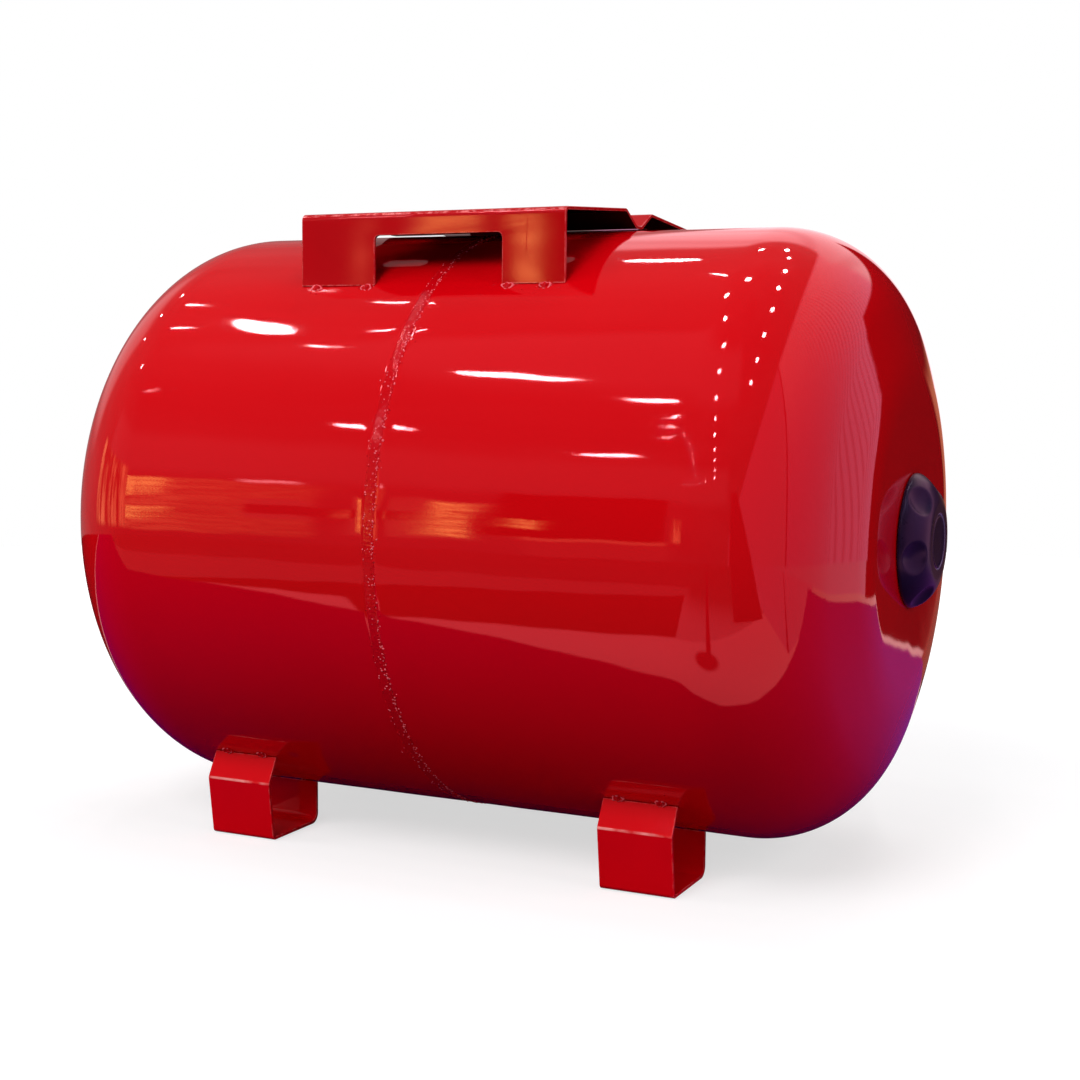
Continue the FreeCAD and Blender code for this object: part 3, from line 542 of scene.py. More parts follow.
def ring_row(x, radius, angles):
    """Points round the tank's axis, for an x and a radius that may change with the angle."""
    return np.stack([x, radius * np.cos(angles), axis_height + radius * np.sin(angles)], 1)


def ring_angles(columns):
    return np.arange(columns) * full_turn / columns


# %% Turn the shells
shell_columns = 288
shell_angles = ring_angles(shell_columns)
fine_step, fine_reach = 0.0018, 0.045


def make_shell(name, side, port_radius, rim):
    """One half shell: outer side from rim to port, and the inner side back."""
    start = rim[-1][0]
    near = [start + side * step for step in np.arange(fine_step, fine_reach, fine_step)]
    far = list(np.linspace(near[-1], middle_x + side * half_cylinder, 22))[1:-1]
    outer = rim + [(x, tank_radius, 0.0, 1.0) for x in near + far] + head_profile(side, port_radius)
    inner = [(x - nx * shell_wall, r - nr * shell_wall, nx, nr) for x, r, nx, nr in outer[::-1][::3]]
    inner.append((rim[0][0], rim[0][1] - shell_wall, 0.0, 1.0))
    rows = []
    for x, r, nx, nr in outer + inner:
        moved = steel_wave(np.full(shell_columns, x), shell_angles)
        rows.append(ring_row(x + moved * nx, r + moved * nr, shell_angles))
    faces = ring_faces(len(rows), shell_columns, closed=True)
    return mesh_piece(name, np.concatenate(rows), faces, shell_red)


lap_radius = tank_radius - shell_wall - 0.0003
bead_half = 0.0029
water_rim = [(seam_x - bead_half, tank_radius - 0.0002, 0.0, 1.0),
             (seam_x - bead_half - 0.0004, tank_radius, 0.0, 1.0)]
air_rim = [(seam_x + bead_half - back, lap_radius, 0.0, 1.0) for back in (0.018, 0.010, 0.003)]
air_rim.append((seam_x + bead_half, tank_radius - 0.0001, 0.0, 1.0))
mount(make_shell("shell_water_side_drawn", -1, water_port, water_rim), "shell_water_side")
mount(make_shell("shell_air_side_drawn", 1, air_port, air_rim), "shell_air_side")

# %% [markdown]
# ## The girth weld
# The seam is a machine-laid bead: a low crown made of overlapping ripples, with a nearly straight edge,
# a restless one, and drops of spatter baked under the paint on both sides. The bead is a turned strip
# whose height follows 500 ripples round the tank, each with its own small error, and a fine grit. The
# spatter is a sprinkle of flattened drops. Modelled ripples, unlike a bump, also break the outline.

# %% Bead with ripples
def uneven(values, seed, count):
    """A smooth repeating row of values around the seam."""
    shift = np.random.default_rng(seed)
    total = np.zeros_like(values)
    for k in range(1, count + 1):
        total += np.sin(values * shift.integers(3, 60) + shift.uniform(0, 6.28)) / count ** 0.5
    return total


def hump(value, middle, width):
    return math.exp(-((value - middle) / width) ** 2)


bead_columns, ripple_count = 3000, 500
bead_reach, bead_limit, bead_skirt = 0.00315, 0.00125, 0.0010
bead_angles = ring_angles(bead_columns)
ripple_phase = bead_angles * ripple_count + 1.4 * uneven(bead_angles, 3, 9)
bead_rows = np.concatenate([[-1.0, -0.97], np.linspace(-0.92, 0.92, 19), [0.97, 1.0]])
grit = np.random.default_rng(17).normal(0, 1, (len(bead_rows), bead_columns))
grit = grit + 0.6 * np.roll(grit, 1, axis=1)
bead_points = []
for row, across in enumerate(bead_rows):
    crown = 1 - abs(across) ** 3
    ripple = 0.5 + 0.5 * np.sin(ripple_phase - 2.2 * (1 - across ** 2))
    rough = 0.000008 + 0.00006 * hump(across, 0.60, 0.24) + 0.00002 * hump(across, -0.3, 0.3)
    height = 0.00003 + 0.00014 * crown * (1 + 0.2 * uneven(bead_angles, 5, 7)) + 0.00004 * crown * ripple
    height = height + rough * crown * grit[row] + 0.00012 * hump(across, -0.87, 0.06)
    edge_shift = 0.00025 * uneven(bead_angles, 8, 12) if across > 0 else 0.00006 * uneven(bead_angles, 9, 8)
    x = seam_x + across * bead_reach + max(0.0, abs(across) - 0.5) * edge_shift
    radius = np.minimum(tank_radius + height + steel_wave(x, bead_angles), tank_radius + bead_limit)
    if abs(across) == 1:
        radius = radius - bead_skirt
    bead_points.append(ring_row(x, radius, bead_angles))
bead = mesh_piece("girth_weld_bead", np.concatenate(bead_points), ring_faces(len(bead_rows), bead_columns),
                  weld_red)
mount(bead, "girth_weld")

# %% Spatter beside the bead
length_axis = Vector((1, 0, 0))
drop_face_count = 24


def add_drop(points, faces, centre, outward, radius, height):
    """A flattened drop: a small dome of three rings on a point of the wall."""
    first = len(points)
    sideways = outward.cross(length_axis).normalized()
    for reach, share in ((1.0, -0.35), (0.8, 0.55), (0.42, 0.93)):
        for a in ring_angles(8):
            points.append(centre + outward * (height * share)
                          + (length_axis * math.cos(a) + sideways * math.sin(a)) * radius * reach)
    points.append(centre + outward * height)
    for ring in (0, 1):
        for k in range(8):
            a, b = first + ring * 8 + k, first + ring * 8 + (k + 1) % 8
            faces.append((a, b, b + 8, a + 8))
    for k in range(8):
        faces.append((first + 16 + k, first + 16 + (k + 1) % 8, first + 24))


def thin_coat_and_glint_on(piece, chosen):
    """Give the chosen faces of a weld the paler, thin coat, which is also a painted highlight."""
    piece.data.materials.append(thin_red_painted_glint)
    piece.data.polygons.foreach_set("material_index", [int(value) for value in chosen])


spatter_random = np.random.default_rng(11)
spatter_points, spatter_faces = [], []
spatter_places = ((0.0029, 0.0005), (0.0024, 0.0004), (0.0033, 0.0007), (0.0029, 0.0004), (0.0006, 0.0012),
                  (-0.0031, 0.0004), (0.0004, 0.0030), (0.0018, 0.0010))
for k in range(2600):
    angle = spatter_random.uniform(0, full_turn)
    x = seam_x + spatter_random.normal(*spatter_places[k % 8])
    size = spatter_random.uniform(0.00028, 0.00060) * (1 if k % 9 else 1.4)
    outward = Vector((0, math.cos(angle), math.sin(angle)))
    on_bead = 0.00012 if abs(x - seam_x) < 0.0028 else 0
    base = float(tank_radius + steel_wave(np.array(x), np.array(angle))) + on_bead
    centre = Vector((x, 0, axis_height)) + outward * base
    add_drop(spatter_points, spatter_faces, centre, outward, size, size * 0.6)
spatter = mesh_piece("girth_weld_spatter", spatter_points, spatter_faces, weld_red)
# Two drops in five get the pale coat, a painted glint as well as thin paint.
thin_coat_and_glint_on(spatter, (k // drop_face_count % 5 < 2 for k in range(len(spatter_faces))))
mount(spatter, None)

# %% [markdown]
# ## The pump platform and the feet
# The platform and the four feet are folded from 2 mm sheet. Their solids already have the true bends,
# cut-outs and slots, so the new pieces start from those faces: the split corners are merged, flat
# triangles become whole faces, and every sharp edge gets a 0.35 mm round. Sheared and painted edges
# are never razor sharp, and that small round catches the thin line of light that makes sheet look real.

# %% Round the edges of a folded sheet
def rounded_copy(node, name, material, width, steepest=40.0):
    """A new piece from a node's faces, with its sharp edges rounded."""
    form = bmesh.new()
    form.from_mesh(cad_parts[node].data)
    bmesh.ops.remove_doubles(form, verts=form.verts, dist=0.00001)
    bmesh.ops.dissolve_limit(form, angle_limit=math.radians(0.6), verts=form.verts, edges=form.edges)
    sharp = [e for e in form.edges
             if len(e.link_faces) == 2 and e.calc_face_angle(0) > math.radians(steepest)]
    bmesh.ops.bevel(form, geom=sharp, offset=width, offset_type="OFFSET", segments=3, profile=0.5,
                    affect="EDGES", clamp_overlap=True)
    bmesh.ops.triangulate(form, faces=[f for f in form.faces if len(f.verts) > 4])
    piece = show(name, dress(settle(form, name), material))
    keep = piece.modifiers.new("even shading", "WEIGHTED_NORMAL")
    keep.weight = 80
    keep.keep_sharp = False
    return piece


sheet_edge, sheet_steepest = 0.00035, 32.0
mount(rounded_copy("pump_platform", "pump_platform_folded", platform_red_painted_shade, sheet_edge, sheet_steepest),
      "pump_platform")
feet = [f"foot_{across}_{along}" for across in ("front", "rear") for along in ("left", "right")]
for foot in feet:
    mount(rounded_copy(foot, f"{foot}_folded", sheet_red_painted_light, sheet_edge, sheet_steepest), foot)

# %% [markdown]
# ## The tack welds
# Short hand-laid tacks hold the platform's flanges and the feet's tabs. A tack is two or three puddles
# that ran together, so each is a soft lump with ripples lengthwise and a small crater where the arc
# stopped, with a few drops around it. A ring of each lump gets the pale, thin coat: thin paint and a
# painted highlight along its outline. The lumps sit exactly where the solids have them, on the line
# where sheet meets wall.

# %% A puddled lump
lump_rings, lump_spokes = 11, 30
lump_face_count = (lump_rings - 1) * lump_spokes
tack_drops = 7


def add_lump(points, faces, centre, outward, half_length, half_width, height, seed):
    """One tack of three overlapping puddles, as a dome grid."""
    chance = np.random.default_rng(seed)
    sideways = outward.cross(length_axis).normalized()
    first = len(points)
    wobble = [chance.uniform(0, 6.28) for _ in range(3)]
    for i in range(lump_rings):
        t = i / (lump_rings - 1)
        for a in ring_angles(lump_spokes):
            rim = 1 + 0.09 * math.sin(3 * a + wobble[0]) + 0.06 * math.sin(5 * a + wobble[1])
            u, v = math.cos(a) * t * rim, math.sin(a) * t * rim
            dome = math.sqrt(max(0.0, 1 - t * t))
            puddles = 0.74 + 0.26 * math.cos(u * 9.5 + wobble[2])
            crater = 0.55 * math.exp(-(((u - 0.38) / 0.2) ** 2 + (v / 0.3) ** 2))
            rise = height * (dome * puddles - crater) - (0.0006 if i == lump_rings - 1 else 0)
            points.append(centre + length_axis * u * half_length + sideways * v * half_width + outward * rise)
    faces += [tuple(first + index for index in face) for face in ring_faces(lump_rings, lump_spokes)]


def tack_row(name, node, spots):
    """All the tacks of one sheet, as one piece on one node."""
    points, faces = [], []
    for number, (x, y, z) in enumerate(spots):
        radial = Vector((0, y, z - axis_height))
        wall = radial.normalized()
        outward = (wall + Vector((0, 0.9 if y > 0 else -0.9, 0))).normalized()
        add_lump(points, faces, Vector((x, y, z)) - wall * 0.0004, outward, half_length=0.0046,
                 half_width=0.0031, height=0.0024, seed=number * 7 + len(name))
        for k in range(tack_drops):
            chance = np.random.default_rng(number * 31 + k + len(name))
            drop_x = x + chance.normal(0, 0.006)
            flat = (Matrix.Rotation(chance.normal(0, 0.02), 3, "X") @ radial).normalized()
            near = Vector((drop_x, 0, axis_height)) + flat * (tank_radius + 0.0001)
            add_drop(points, faces, near, flat, radius=0.0004, height=0.0003)
    piece = mesh_piece(name, points, faces, weld_red)
    tack_faces = lump_face_count + tack_drops * drop_face_count
    within = [index % tack_faces for index in range(len(faces))]
    # Rings 6 and 7 of each lump take the pale coat, a painted highlight on the outline.
    thin_coat_and_glint_on(piece, (place < lump_face_count and place // lump_spokes in (6, 7) for place in within))
    mount(piece, node)


# %% Tacks on the platform and the feet
def on_wall(y):
    """How far the tank's wall stands above or below its axis at a y."""
    return math.sqrt(tank_radius ** 2 - y ** 2)


flange_y, flange_tacks = 0.1116, (-0.0791, -0.0445, 0.0487, 0.0725)
foot_x, foot_tab_ys, foot_tack_step = 0.13405, (0.1111, 0.0602), 0.013
for side, across in ((-1, "front"), (1, "rear")):
    spots = [(x, side * flange_y, axis_height + on_wall(flange_y)) for x in flange_tacks]
    tack_row(f"platform_tacks_{across}", f"platform_welds_{across}", spots)
for x, along in ((-foot_x, "left"), (foot_x, "right")):
    for side, across in ((-1, "front"), (1, "rear")):
        spots = [(x + step, side * y, axis_height - on_wall(y)) for y in foot_tab_ys
                 for step in (-foot_tack_step, foot_tack_step)]
        tack_row(f"foot_tacks_{across}_{along}", f"foot_welds_{across}_{along}", spots)

# %% [markdown]
# ## The water end
# A red collar is welded into the port, and a dished zinc counter flange is bolted to it over the
# bladder's lip. Bolt heads and nuts are forged: their corners are cut back by a cone. A screw thread is
# one long helix, so it is swept as a helix here, with a flank up and a flank down, and not as separate
# rings.

# %% Collar, counter flange and valve bush with rounded edges
for node, suffix, material, width, slot in (
        ("neck_collar", "rounded", sheet_red_painted_light, 0.0005, "sheet_enamel"),
        ("counter_flange", "pressed", zinc, 0.0006, "zinc_plate"),
        ("valve_bush", "rounded", sheet_red_painted_light, 0.0004, "sheet_enamel")):
    mount(rounded_copy(node, f"{node}_{suffix}", material, width), node)

# %% A ripple weld around the neck
neck_columns, neck_ripples, neck_weld_width = 720, 110, 0.0048
neck_angles = ring_angles(neck_columns)
crown_x = middle_x - half_cylinder + crown_reach
neck_rows = []
for step in np.linspace(0, 1, 9):
    swell = math.sin(math.pi * step)
    ripple = 0.5 + 0.5 * np.sin(neck_angles * neck_ripples - 2.0 * swell + 0.6 * uneven(neck_angles, 21, 5))
    radius = water_port + neck_weld_width * step
    wall_x = crown_x - np.sqrt(crown_radius ** 2 - radius ** 2)
    lift = 0.0046 * (1 - step) ** 1.2 + 0.0008 * swell + 0.0003 * swell * ripple
    radius = radius + 0.0002 * swell * ripple + 0.00015 * step * uneven(neck_angles, 22, 6)
    if step == 1:
        lift = lift - 0.0008
    neck_rows.append(ring_row(wall_x - lift, radius, neck_angles))
neck_faces = ring_faces(len(neck_rows), neck_columns)
neck_bead = mesh_piece("neck_weld_bead", np.concatenate(neck_rows), neck_faces, weld_red)
mount(neck_bead, "neck_weld")


# %% Rings, threads and hexagons
def circle(form, x, radius, columns, height=0.0):
    """A ring of points around the X axis, or around a line above it."""
    return [form.verts.new((x, radius * math.cos(a), height + radius * math.sin(a)))
            for a in ring_angles(columns)]


def join_rings(form, rings):
    """Quads between each ring and the next."""
    for low, high in zip(rings, rings[1:]):
        for k in range(len(low)):
            after = (k + 1) % len(low)
            form.faces.new((low[k], low[after], high[after], high[k]))


def close_ends(form, rings, places, bore):
    """Flat ends at the first and the last ring, with a hole where there is a bore."""
    holes = []
    for ring, x in zip((rings[0], rings[-1]), places):
        if bore:
            holes.append(circle(form, x, bore, len(ring)))
            join_rings(form, [ring, holes[-1]])
        else:
            form.faces.new(ring)
    return holes


def helix_thread(form, start, length, radius, depth, pitch, bore=0.0, columns=40):
    """A screw thread along X from start towards -X, closed at its ends; bore leaves it hollow."""
    turn_steps = 6
    steps = int(length / pitch * turn_steps) + 1
    rings = []
    for i in range(steps + 1):
        ring = []
        x = start - length * i / steps
        for k, a in enumerate(ring_angles(columns)):
            phase = ((length * i / steps) / pitch + k / columns) % 1.0
            ridge = 1 - abs(2 * phase - 1)
            fade = min(1.0, i / turn_steps, (steps - i) / turn_steps)
            r = radius - depth * (1 - min(1.0, ridge * 1.25) * fade)
            ring.append(form.verts.new((x, r * math.cos(a), r * math.sin(a))))
        rings.append(ring)
    join_rings(form, rings)
    holes = close_ends(form, rings, (start, start - length), bore)
    if bore:
        join_rings(form, holes)


def hexagon_block(form, face_x, height, flats, bore):
    """A hexagonal head from face_x towards -X, its outer corners cut by a cone."""
    columns, flat_face = 48, 0.93 * flats / 2
    cone_start, cone_slope = 0.95 * flats / 2, 0.62
    rings = [circle(form, face_x, flat_face, columns)]
    for front in (True, False):
        ring = []
        for a in ring_angles(columns):
            fold = (a + math.pi / 6) % (math.pi / 3) - math.pi / 6
            r = flats / 2 / math.cos(fold)
            back = max(0.0, r - cone_start) * cone_slope + 0.0001
            x = face_x - back if front else face_x - height + back
            ring.append(form.verts.new((x, r * math.cos(a), r * math.sin(a))))
        rings.append(ring)
    rings.append(circle(form, face_x - height, flat_face, columns))
    join_rings(form, rings)
    close_ends(form, rings, (face_x, face_x - height), bore)


def finish_form(form, name, material):
    bmesh.ops.recalc_face_normals(form, faces=form.faces)
    return dress(settle(form, name), material, sharp=38)


# %% Bolts and nuts
head_height, nut_height, across_flats = 0.0053, 0.0065, 0.013
bolt_circle, bolt_count, bolt_length = 0.063, 6, 0.0195
bolt_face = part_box("flange_bolt_1")[0].x + head_height
form = bmesh.new()
hexagon_block(form, 0.0, head_height, across_flats, bore=0.0)
helix_thread(form, bolt_length, bolt_length, radius=0.004, depth=0.0006, pitch=0.00125, columns=24)
bolt_mesh = finish_form(form, "flange_bolt_forged", zinc)
form = bmesh.new()
hexagon_block(form, nut_height, nut_height, across_flats, bore=0.0041)
nut_mesh = finish_form(form, "flange_nut_forged", zinc)
for k in range(bolt_count):
    a = math.radians(60 * k + 30)
    bolt_name, nut_name = f"flange_bolt_{k + 1}", f"flange_nut_{k + 1}"
    for node, mesh, x in ((bolt_name, bolt_mesh, bolt_face), (nut_name, nut_mesh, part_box(nut_name)[0].x)):
        made = mesh.copy()
        made.transform(Matrix.Translation((x, bolt_circle * math.cos(a),
                                           axis_height + bolt_circle * math.sin(a))))
        mount(show(f"{node}_forged", made), node)

# %% The water connection's thread
low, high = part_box("water_connection")
thread_length, thread_root, connection_bore = 0.0188, 0.01542, 0.0135
rim_radius, rim_start, fine_columns = 0.021, high.x - 0.003, 96
form = bmesh.new()
helix_thread(form, low.x + thread_length, thread_length, radius=0.01662, depth=0.0012, pitch=0.0023,
             bore=connection_bore, columns=fine_columns)
for x0, x1, outer in ((low.x + thread_length, rim_start, thread_root), (rim_start, high.x, rim_radius)):
    rings = [circle(form, x, r, fine_columns) for x, r in (
        (x0, connection_bore), (x0, outer), (x1, outer), (x1, connection_bore))]
    join_rings(form, rings + rings[:1])
connection_mesh = finish_form(form, "water_connection_threaded", zinc)
connection_mesh.transform(Matrix.Translation((0, 0, axis_height)))
mount(show("water_connection_threaded", connection_mesh), "water_connection")

# %% [markdown]
# ## Bladder, valve stem, pin and dust cap
# The bladder can't be seen unless the water end is opened, so its solid keeps its shape and only gets
# its rubber. The valve stem, pin and dust cap are tiny turned pieces under the cover. The solids are
# exact, so they also stay, with rounded copies for the stem and the cap, which show once the cover is
# pulled off.

# %% Small pieces of the air end
for node, material, slot in (("bladder", rubber, "bladder_rubber"), ("valve_pin", brass, "valve_brass")):
    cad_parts[node].data.materials[0] = material
mount(rounded_copy("valve_stem", "valve_stem_turned", brass, 0.0002), "valve_stem")
mount(rounded_copy("valve_dust_cap", "valve_dust_cap_moulded", cap_plastic, 0.00025), "valve_dust_cap",
      "dust_cap")

# %% [markdown]
# ## The valve cover
# The cover is a moulded cap with a domed shoulder, six finger dimples and a plain round disc framed by
# a fine line. A polar grid is bent into the cap's outer line, and where a point would lie inside one of
# the dimple balls it is pressed back onto the ball, with a small blend at the rim, as a mould has.

# %% Outer line and dimples
cover_base, cover_top = (corner.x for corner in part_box("valve_cover"))
cover_radius, flat_radius, shoulder_radius = 0.0394, 0.022, 0.020
edge_height, cover_height = 0.0012, 0.0149
rise, fall = cover_height - edge_height, cover_radius - flat_radius
chord = math.hypot(rise, fall)
sink = math.sqrt(shoulder_radius ** 2 - chord ** 2 / 4)
shoulder_x = cover_base + edge_height + rise / 2 - sink * fall / chord
shoulder_r = (cover_radius + flat_radius) / 2 - sink * rise / chord
ball_radius = 0.017
ball_reach = shoulder_radius + ball_radius - 0.004
ball_lean = math.radians(42.5)
ball_x, ball_r = shoulder_x + ball_reach * math.cos(ball_lean), shoulder_r + ball_reach * math.sin(ball_lean)
dimple_angles = [math.radians(-12 + 60 * k) for k in range(6)]
balls = [Vector((ball_x, -ball_r * math.cos(a), axis_height + ball_r * math.sin(a))) for a in dimple_angles]
print("dimple balls from the axis", round(ball_r, 4), "at x", round(ball_x, 4))


def pressed(point, normal, inset):
    """Push a point of the shoulder back along its normal onto the nearest dimple ball."""
    depth = 0.0
    reach = ball_radius + inset
    soft = 0.0004
    for ball in balls:
        gap = point - ball
        along = normal.dot(gap)
        beside = gap.length_squared - along * along
        if gap.length < reach + 0.003 and beside < reach * reach:
            into = along + math.sqrt(reach * reach - beside)
            if into > -4 * soft:
                depth = max(depth, 0.5 * (into + math.sqrt(into * into + soft * soft)))
    return point - normal * depth


def cover_line(inset):
    """The cap's line from its middle to its rim: axial place, radius and normal."""
    line = [(cover_top - inset, r, 1.0, 0.0) for r in np.linspace(0.0004, flat_radius - 0.0006, 40)]
    start = math.atan2(flat_radius - shoulder_r, cover_top - shoulder_x)
    end = math.atan2(cover_radius - shoulder_r, cover_base + edge_height - shoulder_x)
    corner = arc_points((shoulder_x, shoulder_r), shoulder_radius - inset, start, end, 64)
    line += [point for point in corner if point[0] < cover_top - inset]
    line += [(cover_base + edge_height * share, cover_radius - inset, 0.0, 1.0) for share in (0.75, 0.3, 0.0)]
    return line


# %% The cap's two skins
cover_columns, cover_wall = 240, 0.0019
line_radius, line_half, disc_radius = 0.0158, 0.0009, 0.0146


def cover_points(inset):
    points = []
    for x, r, nx, nr in cover_line(inset):
        for a in ring_angles(cover_columns):
            normal = Vector((nx, nr * math.cos(a), nr * math.sin(a)))
            point = Vector((x, r * math.cos(a), axis_height + r * math.sin(a)))
            if inset == 0:
                band = abs(r - line_radius)
                if x > cover_top - 0.0001 and band < line_half:
                    point.x -= 0.0007 * (0.5 + 0.5 * math.cos(math.pi * band / line_half))
                if r < disc_radius and nx > 0.9:
                    point.x -= 0.0003 * min(1.0, (disc_radius - r) / 0.0006)
            points.append(pressed(point, normal, inset) if 0 < nx < 1 or (nx == 1 and r > 0.019) else point)
    return points


outer, inner = cover_points(inset=0.0), cover_points(inset=cover_wall)
rings = len(outer) // cover_columns
faces = ring_faces(rings, cover_columns)
faces += [tuple(reversed([index + len(outer) for index in face])) for face in faces]
last = (rings - 1) * cover_columns
for k in range(cover_columns):
    after = (k + 1) % cover_columns
    faces.append((last + k, last + after, last + after + len(outer), last + k + len(outer)))
faces.append(tuple(range(cover_columns)))
faces.append(tuple(len(outer) + k for k in range(cover_columns))[::-1])
cover = mesh_piece("valve_cover_moulded", outer + inner, faces, cover_plastic)

# %% The socket inside the cap
socket_outer, socket_bore, socket_mouth, chamfer = 0.0130, 0.01108, 0.0114, 0.0003
socket_start, socket_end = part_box("valve_bush")[1].x - 0.0045, cover_top - 0.0015
form = bmesh.new()
form.from_mesh(cover.data)
join_rings(form, [circle(form, x, r, 72, axis_height) for x, r in (
    (socket_end, socket_outer), (socket_start + chamfer, socket_outer),
    (socket_start, socket_outer - chamfer), (socket_start, socket_mouth),
    (socket_start + chamfer, socket_bore), (socket_end, socket_bore))])
bmesh.ops.recalc_face_normals(form, faces=form.faces)
form.to_mesh(cover.data)
form.free()
dress(cover.data, None, sharp=50)
mount(cover, "valve_cover", "cover")

# %% [markdown]
# ## Floor, room and lamps
# A mirror-like coat shows its surroundings, so they are part of its look. The photograph's tank stands on
# a dark violet mat in a hall: lamps in rows on the ceiling, a pale panel and a planked wall on the right,
# warm windows and shelves far in front, and a pale floor beyond the mat. All of it is painted on the
# floor and the world for mirror rays only. Camera rays see a white floor and a white room, and the floor
# keeps the tank's soft shadow. From below, the floor lets every ray through.

# %% Floor disc
floor_radius, floor_gap = 1.9, 0.0004
form = bmesh.new()
bmesh.ops.create_circle(form, cap_ends=True, radius=floor_radius, segments=96)
bmesh.ops.reverse_faces(form, faces=[face for face in form.faces if face.normal.z < 0])
floor = show("floor", settle(form, "floor"))
floor.location.z = -floor_gap
floor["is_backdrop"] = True
print("floor", [round(v, 2) for v in floor.dimensions], "m")


# %% Joints between boards
def plank_lines(across, count):
    """Thin dark joints between boards, as a mask."""
    return on_line(calculate("FRACT", across * count), 0.5, 0.15, 0.12)


# %% [markdown]
# ## What the floor shows in the enamel
# The floor's picture is laid in coats, one after the other, each a mask and a colour. The masks are
# written in two sets of directions: the frame's own x and y, and side and deep, which are turned with
# the camera, so that deep points away from it. The mat is the last coat, and a painted shadow makes all
# of it darker under the tank.

# %% Directions on the floor
floor_paint = bpy.data.materials.new("pale_floor")
floor_paint.use_nodes = True
tree = floor_paint.node_tree
tree.nodes.clear()
ground = read(tree, "ShaderNodeNewGeometry", "Position")
turned = add_node(tree, "ShaderNodeVectorRotate", rotation_type="Z_AXIS")
set_up(turned, {"Angle": math.radians(-camera_turn), "Vector": ground})
side, deep, _ = parts(Field(turned.outputs["Vector"]))
plain_x, plain_y, _ = parts(ground)
away = deep * -1.0
wave = linear(noise_value(tree, 9.0, 3.0), 0.02, -0.01)

# %% Edges on the floor
near_steep = linear(calculate("MINIMUM", plain_x + 0.17, 0.0), 1.4, -0.41)
near_flat = linear(calculate("MINIMUM", plain_x + 0.20, 0.0), 0.2, -0.485)
panel_side = above(side, 0.385, 0.003)
beyond_panel = above(away, 0.378, 0.003)
boards = plank_lines(deep / calculate("MAXIMUM", side, 0.1), 22.0)
mat_front = linear(calculate("MAXIMUM", side - 0.1, 0.0), -0.18, -0.306) + wave
mat_right = linear(noise_value(tree, 7.0, 4.0), 0.08, 1.02)
mat_back = calculate("MAXIMUM", linear(side, 0.56, 0.13), 0.27) + wave
behind = deep - mat_back
post = on_line(side, linear(deep, 0.285, 0.168), 0.010, 0.004) * above(away, 0.39, 0.004)
post_foot = below(length(side - 0.045, linear(deep, 1.5, 0.600)), 0.042, 0.010)
cupboard = (above(away, 0.59, 0.004) * above(side, linear(away, 0.052, 0.124), 0.004)
            * below(side, linear(away, 0.33, 0.158), 0.004))
mat = above(deep, mat_front, 0.003) * below(side, mat_right, 0.006) * below(deep, mat_back, 0.006)
mat_colour = painted((0.06, 0.0, 0.13), between(side, 0.05, 0.60), (0.24, 0.045, 0.33))

# %% The coats of the floor's picture
mirror = painted((0.13, 0.09, 0.08), noise_value(tree, 3.5, 3.0), (0.32, 0.20, 0.18))
for mask, colour in (
        (above(plain_y, -0.86, 0.02) * below(plain_x, 0.12, 0.03), (0.62, 0.28, 0.28)),
        (above(plain_y, linear(plain_x, -0.35, -0.715), 0.006) * below(plain_x, 0.085, 0.004),
         (0.12, 0.07, 0.05)),
        (above(plain_x, 0.085, 0.004) * between(deep, -0.80, -0.48), (1.15, 0.55, 0.62)),
        (above(plain_y, calculate("MAXIMUM", near_steep, near_flat), 0.006), (1.75, 0.78, 0.86)),
        (panel_side * beyond_panel, (1.25, 0.50, 0.72)),
        (above(side, 0.5, 0.05) * beyond_panel * (boards * 0.3), (0.45, 0.12, 0.22)),
        (on_line(deep, linear(side, -0.955, -0.014), 0.008, 0.004) * panel_side, (0.30, 0.05, 0.12)),
        (cupboard, (0.20, 0.06, 0.06)),
        (post, (0.45, 0.05, 0.07)),
        (post_foot, (0.50, 0.06, 0.09)),
        (above(side, 0.98, 0.02) * below(side, 1.16, 0.01) * above(deep, -0.40, 0.01), (1.3, 0.75, 0.75)),
        (above(side, 1.16, 0.01), (1.1, 0.55, 0.75)),
        (above(behind, 0.0, 0.004), (1.3, 0.75, 0.75)),
        (above(side, 1.13, 0.01) * above(deep, linear(side, 0.625, -0.373), 0.02), (0.04, 0.010, 0.012)),
        (above(behind, 0.022, 0.005), (0.04, 0.010, 0.012)),
        (above(side, 0.45, 0.03) * above(deep, linear(side, 1.35, -0.43), 0.02), (0.30, 0.11, 0.08)),
        (mat, mat_colour)):
    mirror = painted(mirror, mask, colour)
# A painted shadow: the picture is darkened near the tank, for mirror rays only.
painted_shadow_reach = length(plain_x * 2.3, plain_y * 3.0)
mirrored = add_node(tree, "ShaderNodeEmission", {
    "Color": mirror, "Strength": linear(between(painted_shadow_reach, 0.25, 1.1), 0.93, 0.07)})
print("floor picture of", len(tree.nodes), "nodes")


# %% Shaders for the rays that meet the floor
def choose(tree, mask, first, second):
    """One shader where the mask is 0, another where it is 1."""
    node = add_node(tree, "ShaderNodeMixShader", {"Fac": mask})
    tree.links.new(first.outputs[0], node.inputs[1])
    tree.links.new(second.outputs[0], node.inputs[2])
    return node


def choose_by_ray(tree, for_light, for_mirror, for_camera):
    """What bounced light, mirrors and the camera each meet."""
    rays = add_node(tree, "ShaderNodeLightPath")
    unseen = choose(tree, Field(rays.outputs["Is Glossy Ray"]), for_light, for_mirror)
    direct = calculate("MAXIMUM", Field(rays.outputs["Is Camera Ray"]),
                       Field(rays.outputs["Is Transmission Ray"]))
    return choose(tree, direct, unseen, for_camera)


